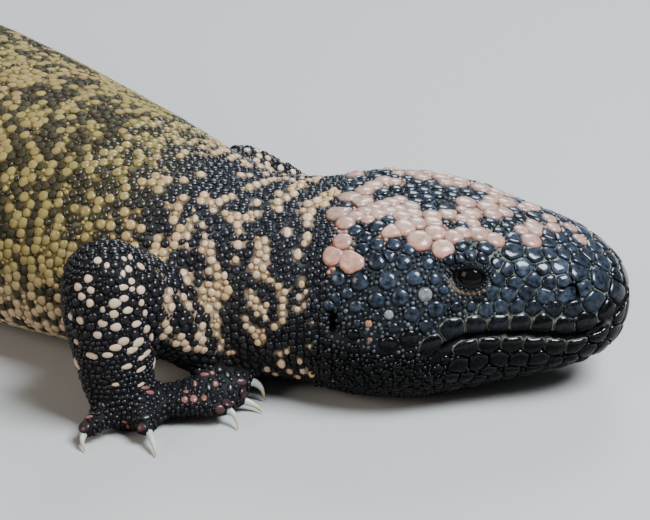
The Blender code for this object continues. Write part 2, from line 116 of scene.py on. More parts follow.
def fan(palm, toes):  # toe ends and claw tips spread from a palm
    spread = []
    for angle, reach in toes:
        ahead, out = math.cos(math.radians(angle)), math.sin(math.radians(angle))
        end = (palm[0] + ahead * reach, palm[1] + out * reach, 2.4)
        spread.append((end, (end[0] + ahead * 5.2, end[1] + out * 5.2, 0.4)))
    return spread


# Places are (forward, outward, height) from the midline at the leg's station
legs = {
    "foreleg_right": dict(
        station=88, side=-1, root=(12.0, 13.0, 10.0), joint=(-1.8, 33.6, 29.4),
        ankle=(0.4, 34.2, 9.0), palm=(3.0, 34.2, 3.6), radii=(8.4, 8.6, 8.7, 7.4),
        toes=[
            ((-0.5, 44.9, 2.9), (1.0, 48.2, 0.4)), ((10.1, 40.1, 3.2), (14.0, 44.1, 0.4)),
            ((19.9, 27.6, 3.6), (23.6, 28.8, 0.4)), ((20.4, 22.0, 2.5), (25.1, 21.1, 0.4)),
            ((20.6, 18.6, 5.0), (23.3, 16.6, 0.4)),
        ],
    ),
    "foreleg_left": dict(
        station=88, side=1, root=(2.8, 9.4, 15), joint=(-11.0, 41.5, 17.0),
        ankle=(6.0, 46.5, 8.5), palm=(12.5, 48.0, 3.6), radii=(10.5, 8.2, 8.2, 7.0),
        toes=fan((12.5, 48.0), [(-52, 14.5), (-22, 16.5), (4, 17.0), (32, 16.0), (72, 13.5)]),
    ),
    "hindleg_right": dict(
        station=284, side=-1, root=(0.0, 6.0, 15), joint=(7.0, 38.0, 21.0),
        ankle=(-4.0, 49.5, 9.0), palm=(0.0, 58.0, 3.6), radii=(12.5, 9.6, 9.2, 7.2),
        toes=fan((0.0, 58.0), [(2, 14.5), (27, 17.0), (51, 18.0), (76, 17.0), (112, 13.5)]),
    ),
    "hindleg_left": dict(
        station=284, side=1, root=(0.0, 6.0, 15), joint=(10.0, 39.0, 20.5),
        ankle=(0.0, 50.5, 9.0), palm=(4.5, 58.8, 3.6), radii=(12.5, 9.6, 9.2, 7.2),
        toes=fan((4.5, 58.8), [(-6, 14.7), (19, 17.2), (43, 18.2), (68, 16.8), (104, 13.3)]),
    ),
}


def curveThrough(table, s):  # a curve through the table that never overshoots its points
    x, y = np.asarray(table, float).T
    s = np.clip(np.asarray(s, float), x[0], x[-1])
    step, slope = np.diff(x), np.diff(y) / np.diff(x)
    tangent = np.zeros(len(x))
    tangent[0], tangent[-1] = slope[0], slope[-1]
    for i in range(1, len(x) - 1):
        if slope[i - 1] * slope[i] > 0:
            before, after = 2 * step[i] + step[i - 1], step[i] + 2 * step[i - 1]
            tangent[i] = (before + after) / (before / slope[i - 1] + after / slope[i])
    i = np.clip(np.searchsorted(x, s, side="right") - 1, 0, len(x) - 2)
    u = (s - x[i]) / step[i]
    return (
        (1 + 2 * u) * (1 - u) ** 2 * y[i] + u * (1 - u) ** 2 * step[i] * tangent[i]
        + u * u * (3 - 2 * u) * y[i + 1] + u * u * (u - 1) * step[i] * tangent[i + 1]
    )


def walkMidline():
    places = np.arange(0, form["length"] + 1)
    angles = np.radians(curveThrough(form["heading"], places))
    middles = (angles[1:] + angles[:-1]) / 2
    x = np.concatenate([[0], -np.cumsum(np.cos(middles))])
    y = np.concatenate([[0], -np.cumsum(np.sin(middles))])
    return places, x, y, angles


midline = walkMidline()


def bodyPlace(s, left, height, forward=0.0):  # points given from the midline at station s
    places, xs, ys, angles = midline
    x, y, angle = (np.interp(s, places, a) for a in (xs, ys, angles))
    cos, sin = np.cos(angle), np.sin(angle)
    return np.stack([x + cos * forward - sin * left, y + sin * forward + cos * left,
                     np.broadcast_to(height, np.shape(x)) * 1.0], axis=-1)


def bodyCoordinates(points):  # station and distance left of the midline, for each point
    places, xs, ys, angles = midline
    best = np.empty(len(points), int)
    for start in range(0, len(points), 20000):
        part = points[start:start + 20000]
        gap = (part[:, :1] - xs) ** 2 + (part[:, 1:2] - ys) ** 2
        best[start:start + 20000] = gap.argmin(axis=1)
    dx, dy = points[:, 0] - xs[best], points[:, 1] - ys[best]
    cos, sin = np.cos(angles[best]), np.sin(angles[best])
    return places[best] - (cos * dx + sin * dy), -sin * dx + cos * dy


def power(value, exponent):
    return np.sign(value) * np.abs(value) ** exponent


def headSwell(s, left, height):
    total = np.zeros(np.shape(s))
    for (a, b, c), amount, reach in head["forms"]:
        gap = (s - a) ** 2 + (np.abs(left) - b) ** 2 + (height - c) ** 2
        total += amount * np.exp(-gap / (2 * reach**2))
    swell, reach = head["lip"]
    lip = swell * np.exp(-(((height - curveThrough(head["mouth"], s)) / reach) ** 2))
    return np.where(s < 58, total + np.where(s < head["mouthEnd"], lip, 0), 0)


def section(s):
    return [curveThrough(form[k], s) for k in
            ("halfWidth", "back", "belly", "widest", "square", "squareBelow")]


def skinPlace(s, angle, grow=0.0):  # angle runs from the left side over the back
    s, angle = np.broadcast_arrays(np.asarray(s, float), np.asarray(angle, float))
    half, back, belly, widest, above, below = section(s)
    up = np.sin(angle)
    exponent = 2 / np.where(up > 0, above, below)
    reach = np.where(up > 0, back - widest, widest - belly)
    left = half * power(np.cos(angle), exponent)
    height = widest + reach * power(up, exponent)
    out = np.stack([left, height - widest], axis=-1)
    out /= np.maximum(np.linalg.norm(out, axis=-1, keepdims=True), 1e-6)
    stand = grow + headSwell(s, left, height)
    return bodyPlace(s, left + out[..., 0] * stand, np.maximum(height + out[..., 1] * stand, 0.0))


def sectionShares(s, left, height):  # sideways and upward, each 1 at the body's own edge
    half, back, belly, widest, above, below = section(s)
    up = height > widest
    reach = np.maximum(np.where(up, back - widest, widest - belly), 0.1)
    return left / np.maximum(half, 0.1), (height - widest) / reach, np.where(up, above, below)


def bodyAngle(s, left, height):  # the angle whose surface point lies nearest in direction
    across, rise, n = sectionShares(s, left, height)
    return np.arctan2(power(rise, n / 2), power(across, n / 2))


def bodyRatio(s, left, height):  # below 1 inside the body, above 1 outside
    across, rise, n = sectionShares(s, left, height)
    return (np.abs(across) ** n + np.abs(rise) ** n) ** (1 / n)


def headPlace(s, left, height):  # the head's own straight axis, at any distance
    angle = math.radians(form["heading"][0][1])
    ahead = np.array([math.cos(angle), math.sin(angle), 0])
    across = np.array([-math.sin(angle), math.cos(angle), 0])
    return across * left - ahead * s + np.array([0, 0, height])


tailward = headPlace(1, 0, 0) - headPlace(0, 0, 0)


def featurePlace(name, side):  # the middle of a nostril or an ear
    return headPlace(*(np.array(head[name]) * (1, side, 1)))


def legPlace(leg, local):
    forward, outward, height = local
    return bodyPlace(leg["station"], leg["side"] * outward, height, forward)


def legPlaces(leg):
    return [legPlace(leg, leg[k]) for k in ("root", "joint", "ankle", "palm")]


# Where the solids stand in the frame, from the middle of one eye
low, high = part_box("eye_right")
eyeMiddle = headPlace(head["eye"][0], -head["eye"][1], head["eye"][2])
shift = (np.array(low) + np.array(high)) / 2 - eyeMiddle * 0.001
shift[2] = 0.0


def toWorld(points):
    return np.asarray(points, float) * 0.001 + shift


def toLocal(places):
    return (places - shift) * 1000


def vertexValues(mesh, name):  # "co" or "normal" of every vertex
    values = np.empty(len(mesh.vertices) * 3)
    mesh.vertices.foreach_get(name, values)
    return values.reshape(-1, 3)


def moveVertices(mesh, co):
    mesh.vertices.foreach_set("co", co.ravel())
    mesh.update()


# The camera, which also places the marks that the picture shows
view = {
    "place": (0.177006, -0.358157, 0.226998), "azimuth": math.radians(35), "elevation": math.radians(27),
    "focal": 2250.0, "middle": (325.0, 260.0), "width": 650,
}
rightward = np.array([math.cos(view["azimuth"]), math.sin(view["azimuth"]), 0])
away = np.array([-math.sin(view["azimuth"]), math.cos(view["azimuth"]), 0])
look = away * math.cos(view["elevation"]) - np.array([0, 0, math.sin(view["elevation"])])
upward = np.cross(rightward, look)
viewPlace = np.array(view["place"]) + shift


# Forms that make the skin

def ringFaces(start, rings, sides):  # between rings of points that follow each other
    faces = []
    for ring in range(start, start + (rings - 1) * sides, sides):
        for k in range(sides):
            j = (k + 1) % sides
            faces.append((ring + k, ring + j, ring + sides + j, ring + sides + k))
    return faces


def loftMesh(rings):  # a closed mesh through rings of points
    rings = [np.asarray(r) for r in rings]
    count = len(rings[0])
    verts = np.concatenate(rings + [rings[0].mean(0)[None], rings[-1].mean(0)[None]])
    faces = ringFaces(0, len(rings), count)
    first, last = len(verts) - 2, len(verts) - 1
    base = (len(rings) - 1) * count
    for k in range(count):
        j = (k + 1) % count
        faces.append((j, k, first))
        faces.append((base + k, base + j, last))
    return verts, faces


def squareTo(ahead):  # two directions across a line
    reference = np.array([0, 0, 1.0]) if abs(ahead[2]) < 0.8 else np.array([0, 1.0, 0])
    across = np.cross(ahead, reference)
    across /= np.linalg.norm(across)
    return across, np.cross(across, ahead)


def tubeForm(points, radii, sides=20, flatten=1.0):  # a round-ended tube through the points
    points = [np.asarray(p, float) for p in points]
    first = points[1] - points[0]
    last = points[-1] - points[-2]
    first, last = first / np.linalg.norm(first), last / np.linalg.norm(last)
    centres, sizes = [], []
    for degrees in (80, 55, 28):
        turn = math.radians(degrees)
        centres.append(points[0] - first * radii[0] * math.sin(turn))
        sizes.append(radii[0] * math.cos(turn))
    centres += points
    sizes += list(radii)
    for degrees in (28, 55, 80):
        turn = math.radians(degrees)
        centres.append(points[-1] + last * radii[-1] * math.sin(turn))
        sizes.append(radii[-1] * math.cos(turn))
    rings = []
    for i, (centre, size) in enumerate(zip(centres, sizes)):
        ahead = centres[min(i + 1, len(centres) - 1)] - centres[max(i - 1, 0)]
        across, up = squareTo(ahead / np.linalg.norm(ahead))
        turns = 2 * np.pi * np.arange(sides) / sides
        rings.append(centre + size * (np.cos(turns)[:, None] * across
                                      + np.sin(turns)[:, None] * up * flatten))
    return loftMesh(rings)


def bodyForm():
    stations = np.concatenate([[0.35, 0.9, 1.6, 2.6], np.arange(3.6, 434, 1.2), [434.4]])
    angles = 2 * np.pi * np.arange(120) / 120
    return loftMesh([skinPlace(s, angles, -form["under"]) for s in stations])


def toeLine(palm, end):
    line = [palm + (end - palm) * share for share in feet["toeShares"]]
    for point, rise in zip(line, feet["toeRise"]):
        point[2] += rise
    return line


def legForms(leg):
    root, joint, ankle, palm = legPlaces(leg)
    top, bend, below, end = leg["radii"]
    bulge = joint - (root + ankle) / 2
    knee = joint - bulge / np.linalg.norm(bulge) * 0.6
    inside = form["under"]
    middle = root + (joint - root) * 0.5
    shapes = [tubeForm([root, middle, knee], [top, (top + bend) / 2, bend - inside])]
    middle = joint + (ankle - joint) * 0.38
    shapes.append(tubeForm([knee, middle, ankle], [bend - inside, below - inside, end - 0.5]))
    shapes.append(tubeForm([ankle, palm + (0, 0, 0.6)], [end - 0.5, end - 1.6]))
    toes = np.array([legPlace(leg, e) for e, _ in leg["toes"]])
    ahead = (toes - palm).mean(0)
    ahead[2] = 0
    ahead /= np.linalg.norm(ahead)
    shapes.append(tubeForm([palm - ahead * 2, palm + ahead * 3.2], feet["palm"], flatten=feet["palmFlat"]))
    for end in toes:
        shapes.append(tubeForm(toeLine(palm, end), feet["toe"], 14))
    return shapes


def meshObject(name, verts, faces):
    mesh = bpy.data.meshes.new(name)
    mesh.from_pydata([tuple(v) for v in verts], [], faces)
    mesh.validate()
    obj = bpy.data.objects.new(name, mesh)
    bpy.context.scene.collection.objects.link(obj)
    return obj


def appliedMesh(obj):  # the mesh that the object's modifiers make
    graph = bpy.context.evaluated_depsgraph_get()
    mesh = bpy.data.meshes.new_from_object(obj.evaluated_get(graph))
    old = obj.data
    obj.modifiers.clear()
    obj.data = mesh
    mesh.name = obj.name
    bpy.data.meshes.remove(old)
    return mesh


skinSettings = {"voxel": 0.0012, "smoothing": 5, "headReach": 59.0, "headWidth": 26.0, "eyeReach": 3.4}
carving = {"mouth": (1.4, 0.62), "nostril": (1.9, 1.5), "ear": (2.0, 0.9, 2.4)}  # depths and half widths


def eyeFrame(side):
    s, left, height = head["eye"]
    ahead = headPlace(s - 1, 0, 0) - headPlace(s, 0, 0)
    across = (headPlace(s, 1, 0) - headPlace(s, 0, 0)) * side
    tilt = head["eyeTilt"]
    out = across * math.cos(tilt) + np.array([0, 0, math.sin(tilt)])
    up = np.array([0, 0, math.cos(tilt)]) - across * math.sin(tilt)
    return headPlace(s, left * side, height), ahead, up, out


def eyeRing(points):  # distance outside the nearer eye's opening, and the eye's own axes
    best = np.full(len(points), 99.0)
    found = np.zeros((len(points), 4))
    for side in (-1, 1):
        centre, ahead, up, out = eyeFrame(side)
        local = points - centre
        u, v, w = local @ ahead, local @ up, local @ out
        size = np.hypot(u, v)
        turn = np.arctan2(v, u)
        a, b = head["opening"]
        edge = 1 / np.sqrt((np.cos(turn) / a) ** 2 + (np.sin(turn) / b) ** 2)
        here = (w > -1.5) & (size - edge < best)
        best[here] = (size - edge)[here]
        found[here] = np.stack([np.full(len(points), side), v, w, np.minimum(size, edge)], axis=1)[here]
    return best, found


def nearHead(points):
    s, left = bodyCoordinates(points)
    return (s < skinSettings["headReach"]) & (np.abs(left) < skinSettings["headWidth"])


def nearEyes(points):
    return np.abs(eyeRing(points)[0]) < skinSettings["eyeReach"]


def makeSkin():
    verts, faces, offset = [], [], 0
    for part in [bodyForm()] + [f for leg in legs.values() for f in legForms(leg)]:
        verts.append(toWorld(part[0]))
        faces += [tuple(i + offset for i in face) for face in part[1]]
        offset += len(part[0])
    skin = meshObject("skin", np.concatenate(verts), faces)
    remesh = skin.modifiers.new("oneSurface", "REMESH")
    remesh.mode = "VOXEL"
    remesh.voxel_size = skinSettings["voxel"]
    settle = skin.modifiers.new("settle", "SMOOTH")
    settle.factor = 0.5
    settle.iterations = skinSettings["smoothing"]
    mesh = appliedMesh(skin)
    bm = bmesh.new()
    bm.from_mesh(mesh)
    for isNear in (nearHead, nearEyes):  # finer for the mouth, and again for the lids
        near = isNear(toLocal(np.array([f.calc_center_median() for f in bm.faces])))
        edges = {e for f, here in zip(bm.faces, near) if here for e in f.edges}
        bmesh.ops.subdivide_edges(bm, edges=list(edges), cuts=1, use_grid_fill=True)
    for vert in bm.verts:
        vert.co.z = max(vert.co.z, 0.0)
    bmesh.ops.recalc_face_normals(bm, faces=bm.faces)
    bm.to_mesh(mesh)
    bm.free()
    return skin


def carveHead(skin):  # mouth, eye hollows, nostrils and ears, pressed into the skin
    mesh = skin.data
    co, normals = vertexValues(mesh, "co"), vertexValues(mesh, "normal")
    points = toLocal(co)
    s, left = bodyCoordinates(points)
    near = (s < 62) & (np.abs(left) < 30)
    fade = np.clip((head["mouthEnd"] + 1 - s) / 3, 0, 1)
    depth, wide = carving["mouth"]
    press = depth * fade * np.exp(-(((points[:, 2] - curveThrough(head["mouth"], s)) / wide) ** 4))
    for side in (-1, 1):
        depth, wide = carving["nostril"]
        gap = np.linalg.norm(points - featurePlace("nostril", side), axis=1)
        press += depth * np.exp(-((gap / wide) ** 4))
        depth, wide, tall = carving["ear"]
        gap = points - featurePlace("ear", side)
        onSide = np.abs(left * side - head["ear"][1]) < 5
        hollow = depth * np.exp(-((gap @ tailward / wide) ** 4) - (gap[:, 2] / tall) ** 4)
        press += np.where(onSide, hollow, 0)
    co -= normals * np.where(near, press, 0)[:, None] * 0.001
    outside, found = eyeRing(toLocal(co))
    base = np.sqrt(np.maximum(head["eyeRadius"] ** 2 - found[:, 3] ** 2, 0))
    lid = base + np.interp(outside, *zip(*head["lids"]))
    first, last = head["lidFade"]
    weight = np.clip((last - outside) / (last - first), 0, 1) * (outside < last)
    for side in (-1, 1):
        out = eyeFrame(side)[3]
        here = (found[:, 0] == side) & near & (weight > 0)
        lift = (lid - found[:, 2]) * weight
        co[here] += out * lift[here, None] * 0.001
    moveVertices(mesh, co)


def regionOf(points):  # 0 on the body, 1 to 4 on a leg
    s, left = bodyCoordinates(points)
    outside = bodyRatio(s, left, points[:, 2]) > 1.07
    region = np.zeros(len(points), int)
    nearest = np.full(len(points), 14.0)
    for number, leg in enumerate(legs.values(), 1):
        root, joint, ankle, palm = legPlaces(leg)
        lines = [(root, joint), (joint, ankle), (ankle, palm)]
        lines += [(palm, legPlace(leg, end)) for end, _ in leg["toes"]]
        for a, b in lines:
            gap = segmentShare(points, a, b)[1]
            here = outside & (gap < nearest)
            region[here] = number
            nearest[here] = gap[here]
    return region


def setAttribute(mesh, name, kind, values, domain="POINT"):
    attribute = mesh.attributes.new(name, kind, domain)
    key = {"FLOAT_COLOR": "color", "FLOAT_VECTOR": "vector", "FLOAT2": "vector"}.get(kind, "value")
    attribute.data.foreach_set(key, np.asarray(values, float if kind != "INT" else int).ravel())


def withAlpha(colours):
    return np.concatenate([colours, np.ones((len(colours), 1))], axis=1)


print("forms ready")
skin = makeSkin()
carveHead(skin)
print("skin", len(skin.data.polygons), "faces")


def skinTree(obj):
    bm = bmesh.new()
    bm.from_mesh(obj.data)
    tree = BVHTree.FromBMesh(bm)
    bm.free()
    return tree


surface = skinTree(skin)


def ontoSkin(points):  # nearest places and directions out of the skin, in millimetres
    places, outs = np.empty((len(points), 3)), np.empty((len(points), 3))
    for i, p in enumerate(toWorld(points)):
        place, out, _, _ = surface.find_nearest(Vector(p))
        places[i], outs[i] = place, out
    return toLocal(places), outs


# Markings
# Strokes in the picture's own pixels, read off one by one: both ends and the width. Each has a twin on the far
# side
strokes = {
    "neck": [
        (247, 190, 271, 180, 9), (216, 205, 234, 196, 10), (192, 210, 213, 190, 7), (227, 218, 249, 216, 14),
        (240, 218, 240, 231, 8), (257, 203, 258, 204, 9), (257, 213, 257, 213, 7), (275, 206, 302, 184, 14),
        (278, 207, 279, 211, 9), (308, 206, 335, 192, 17), (307, 206, 307, 221, 15),
        (316, 205, 324, 205, 16), (288, 227, 289, 238, 7), (302, 246, 311, 233, 9), (298, 250, 298, 258, 9),
        (237, 245, 237, 246, 9), (236, 259, 236, 260, 8), (261, 241, 260, 258, 13), (258, 265, 262, 270, 11),
        (262, 271, 278, 286, 9), (278, 286, 285, 293, 10), (251, 265, 251, 266, 6), (205, 238, 211, 247, 8),
        (211, 247, 210, 262, 12), (211, 262, 218, 273, 13), (218, 275, 222, 290, 16),
        (222, 280, 226, 290, 10), (201, 250, 201, 250, 7), (203, 225, 203, 226, 7), (195, 219, 195, 220, 6),
        (210, 292, 210, 316, 22), (212, 316, 218, 338, 11), (218, 338, 230, 352, 5), (185, 272, 191, 287, 9),
        (257, 276, 271, 280, 9), (271, 280, 284, 293, 9), (284, 293, 282, 306, 9), (282, 306, 282, 320, 8),
        (252, 292, 258, 308, 9), (258, 307, 265, 308, 9), (264, 308, 265, 317, 7), (244, 318, 251, 328, 9),
        (251, 328, 259, 335, 10), (259, 330, 258, 342, 9), (170, 205, 186, 196, 8), (180, 232, 190, 222, 8),
        (172, 250, 180, 236, 8),
    ],
    "crown": [
        (350, 213, 401, 208, 13), (341, 222, 347, 240, 11), (365, 190, 396, 182, 18),
        (352, 202, 366, 196, 12), (402, 212, 432, 228, 28), (415, 232, 424, 241, 19),
        (433, 232, 442, 247, 17), (448, 238, 460, 236, 13), (467, 234, 486, 234, 10),
        (491, 240, 496, 241, 12), (455, 219, 470, 217, 13), (474, 213, 494, 208, 19),
        (478, 186, 508, 182, 13), (450, 186, 470, 184, 12), (426, 178, 444, 177, 11),
        (452, 176, 460, 176, 10), (493, 206, 526, 207, 14), (491, 214, 499, 214, 11),
        (515, 230, 532, 229, 8), (525, 220, 537, 219, 5), (523, 241, 537, 241, 10), (543, 218, 551, 218, 8),
        (545, 228, 557, 228, 8), (564, 228, 577, 229, 9), (576, 238, 586, 240, 9), (352, 256, 352, 258, 14),
        (382, 240, 389, 238, 10), (332, 242, 341, 252, 14), (327, 262, 330, 268, 10),
        (340, 218, 336, 226, 10),
    ],
    "armStripe": [
        (158, 271, 167, 284, 5), (166, 294, 167, 314, 11), (166, 314, 166, 334, 10),
        (166, 334, 179, 341, 10), (179, 341, 189, 349, 10), (189, 349, 203, 348, 9), (203, 348, 203, 338, 9),
        (203, 338, 197, 324, 8), (197, 324, 190, 306, 6), (190, 306, 181, 297, 4), (181, 297, 173, 289, 4),
    ],
}
# Single scales of the near foreleg, read one by one from the picture enlarged: middle, width and height
armSpots = {
    "corner": (0, 220),
    "zoom": 5.227,
    "at": [
        (511, 212, 50, 42), (558, 238, 32, 34), (648, 204, 35, 30), (680, 195, 25, 30), (671, 257, 42, 42),
        (735, 243, 45, 35), (461, 307, 55, 52), (407, 350, 50, 52), (475, 366, 46, 46), (427, 400, 44, 44),
        (471, 434, 46, 50), (642, 282, 28, 46), (687, 320, 40, 45), (643, 352, 62, 42), (735, 366, 44, 50),
        (648, 410, 50, 40), (690, 362, 30, 30), (599, 436, 70, 55), (668, 472, 60, 45), (537, 468, 30, 36),
        (594, 493, 58, 48), (738, 432, 32, 44), (757, 486, 30, 44), (536, 540, 58, 48), (606, 560, 66, 50),
        (420, 524, 46, 46), (370, 503, 30, 44), (332, 525, 24, 40), (713, 543, 58, 40), (765, 570, 40, 45),
        (790, 612, 25, 50), (510, 600, 56, 48), (400, 636, 34, 34), (345, 645, 36, 50), (645, 634, 64, 46),
        (721, 640, 70, 50), (750, 605, 40, 34), (604, 667, 74, 42), (688, 680, 66, 40), (766, 697, 50, 36),
        (819, 727, 32, 42), (480, 709, 76, 38), (562, 706, 68, 34), (739, 720, 40, 26), (799, 747, 45, 36),
        (404, 750, 54, 44), (347, 702, 26, 46), (664, 766, 62, 30), (738, 780, 60, 28), (605, 860, 50, 22),
        (848, 838, 50, 24), (737, 860, 40, 16),
    ],
    "red": [
        (784, 902, 44, 26), (972, 898, 36, 18), (1019, 856, 22, 40), (1068, 808, 56, 26),
        (1126, 858, 34, 36), (1108, 800, 30, 22), (965, 940, 44, 46), (1012, 935, 44, 42),
        (1066, 930, 40, 34), (760, 877, 50, 16), (465, 1030, 50, 16), (670, 1080, 16, 30),
        (650, 1054, 40, 14),
    ],
    "tips": [
        (1262, 846, 70, 44), (1150, 990, 60, 56), (1212, 958, 40, 30), (740, 1085, 60, 52),
        (410, 1110, 44, 60),
    ],
}
# Pale scales of the neck read the same way, its lower side and then its upper side
neckSpots = {
    "corner": (215, 280),
    "zoom": 10.453,
    "at": [
        (20, 60, 90, 80), (25, 150, 80, 80), (25, 270, 90, 90), (10, 380, 70, 70), (15, 480, 70, 80),
        (15, 570, 60, 60), (75, 640, 50, 60), (45, 710, 50, 80), (140, 760, 60, 60), (185, 755, 60, 50),
        (375, 120, 60, 70), (380, 185, 70, 70), (370, 245, 66, 66), (425, 210, 76, 80), (420, 285, 80, 80),
        (478, 295, 74, 74), (435, 355, 74, 70), (540, 260, 75, 78), (512, 330, 62, 66), (525, 395, 60, 80),
        (320, 405, 85, 78), (322, 480, 80, 74), (385, 515, 90, 80), (420, 580, 84, 80), (447, 652, 84, 80),
        (505, 595, 74, 86), (505, 530, 48, 54), (575, 5, 90, 60), (662, 65, 90, 92), (730, 125, 86, 84),
        (705, 205, 82, 78), (705, 282, 76, 76), (705, 352, 74, 66), (705, 426, 86, 82), (620, 490, 90, 92),
        (905, 45, 76, 92), (875, 178, 82, 92), (950, 125, 60, 70), (860, 305, 76, 72), (938, 268, 62, 72),
        (1018, 440, 44, 52), (992, 693, 50, 64), (680, 770, 62, 66), (750, 748, 58, 62), (888, 848, 64, 76),
        (695, 872, 90, 98), (545, 932, 76, 86), (628, 985, 72, 76), (780, 957, 74, 86), (868, 1015, 66, 76),
        (917, 947, 70, 82), (1010, 982, 76, 88), (1190, 1088, 80, 66),
    ],
}
napeSpots = {
    "corner": (180, 170),
    "zoom": 9.224,
    "at": [
        (140, 450, 60, 80), (92, 530, 60, 84), (66, 612, 70, 90), (62, 700, 50, 72), (205, 510, 65, 76),
        (228, 612, 62, 70), (230, 682, 72, 72), (198, 742, 70, 76), (288, 690, 72, 78), (280, 762, 84, 80),
        (290, 835, 92, 82), (264, 935, 76, 82), (340, 900, 84, 90), (345, 980, 90, 86), (410, 975, 70, 92),
        (335, 1050, 96, 80), (262, 1055, 90, 72), (205, 1115, 96, 88), (290, 1130, 92, 92),
        (355, 1125, 78, 88), (30, 950, 86, 90), (60, 1025, 78, 90), (100, 1110, 68, 90), (285, 305, 70, 60),
        (305, 378, 86, 62), (360, 300, 84, 84), (415, 268, 86, 80), (475, 248, 80, 70), (640, 165, 90, 72),
        (705, 140, 96, 86), (775, 118, 96, 76), (870, 85, 60, 50), (560, 50, 96, 44), (640, 55, 80, 42),
        (710, 305, 92, 82), (705, 405, 62, 66), (465, 458, 90, 90), (530, 430, 92, 86), (528, 510, 90, 88),
        (608, 442, 80, 82), (545, 572, 60, 70), (535, 695, 96, 96), (515, 828, 76, 86), (722, 700, 80, 90),
        (780, 655, 80, 90), (735, 775, 88, 80), (795, 740, 70, 80), (790, 810, 76, 80), (705, 845, 80, 80),
        (655, 890, 60, 70), (765, 905, 82, 90), (705, 965, 80, 86), (830, 1000, 100, 90),
        (905, 1070, 84, 90), (960, 1130, 92, 92), (910, 225, 100, 88), (900, 300, 104, 86),
        (912, 368, 88, 66), (985, 262, 80, 88), (1050, 225, 104, 96), (1112, 150, 78, 100),
        (1035, 98, 80, 60), (1075, 45, 100, 76), (1125, 78, 60, 56), (960, 50, 60, 40), (990, 580, 80, 108),
        (1172, 618, 92, 100), (1145, 680, 66, 76), (1085, 780, 96, 130), (1180, 320, 124, 112),
        (1265, 290, 112, 106), (1335, 325, 110, 106), (1215, 390, 96, 86), (1178, 445, 112, 84),
        (1170, 505, 86, 66), (1120, 1050, 76, 92), (1150, 1120, 50, 60), (1300, 40, 96, 48),
    ],
}
# Plates of the head read the same way: middle and width
platesSeen = {
    "corner": (300, 150),
    "zoom": 4.48,
    "domes": [
        (345, 500, 90), (462, 502, 86), (572, 505, 76), (235, 505, 86), (170, 578, 76), (268, 590, 92),
        (392, 585, 92), (512, 573, 82), (602, 578, 60), (340, 672, 84), (450, 660, 86), (645, 625, 52),
        (250, 700, 68), (500, 735, 82), (608, 712, 86), (420, 425, 76), (345, 345, 90), (470, 352, 78),
        (95, 350, 56), (165, 380, 62), (155, 135, 70), (95, 135, 60), (280, 130, 56), (325, 105, 54),
        (275, 235, 62), (355, 215, 46), (205, 255, 66), (725, 335, 66), (655, 330, 50), (835, 350, 50),
        (725, 428, 74), (830, 438, 88), (880, 505, 66), (700, 705, 62), (770, 700, 60), (160, 660, 56),
        (180, 745, 50), (420, 800, 60), (340, 745, 48), (560, 790, 70), (255, 775, 46),
    ],
    "flat": [
        (957, 455, 88), (957, 398, 66), (1050, 470, 84), (998, 527, 90), (1088, 532, 66), (1162, 522, 78),
        (1250, 552, 98), (1347, 582, 96), (1390, 490, 84), (1282, 470, 72), (1212, 442, 64), (958, 592, 62),
        (1045, 580, 70), (1115, 590, 60), (890, 580, 54), (1415, 560, 60), (860, 640, 60), (935, 645, 66),
        (1015, 638, 66), (1095, 650, 66), (1180, 650, 62), (1275, 610, 60),
    ],
    "pinks": [
        (385, 108, 62), (440, 110, 52), (488, 120, 50), (375, 142, 70), (328, 165, 70), (288, 188, 70),
        (245, 192, 58), (420, 148, 56), (165, 308, 58), (203, 330, 70), (115, 366, 62), (82, 410, 60),
        (110, 452, 72), (130, 505, 62), (68, 508, 52), (190, 412, 70), (250, 300, 62), (288, 280, 64),
        (328, 264, 64), (368, 250, 64), (408, 238, 66), (446, 228, 58), (302, 314, 50), (348, 292, 60),
        (396, 280, 62), (440, 268, 58), (385, 402, 66), (455, 300, 70), (503, 288, 72), (548, 288, 72),
        (592, 298, 72), (478, 334, 62), (524, 332, 70), (572, 342, 70), (606, 374, 80), (534, 408, 92),
        (596, 424, 92), (640, 446, 82), (572, 380, 62), (640, 400, 66), (690, 392, 78), (728, 374, 66),
        (800, 378, 84), (874, 405, 72), (562, 108, 52), (602, 118, 84), (650, 126, 62), (684, 112, 80),
        (738, 124, 78), (790, 126, 66), (712, 158, 60), (760, 168, 76), (806, 166, 76), (852, 172, 74),
        (898, 190, 68), (932, 212, 60), (874, 208, 58), (922, 240, 76), (964, 246, 66), (1002, 264, 58),
        (742, 240, 78), (790, 248, 78), (838, 258, 78), (762, 292, 76), (812, 300, 76), (860, 294, 68),
        (728, 272, 50), (772, 332, 58), (724, 312, 56), (850, 228, 58), (1035, 410, 78), (990, 362, 56),
        (1040, 332, 50), (1115, 312, 58), (1134, 352, 56), (1208, 352, 58), (1250, 405, 60),
    ],
    "petals": [(670, 488, 52), (713, 482, 52), (759, 470, 60), (814, 486, 60)],
    "pale": [(560, 648, 72), (398, 738, 50)],
    "orange": [(308, 778, 42), (312, 848, 30)],
}
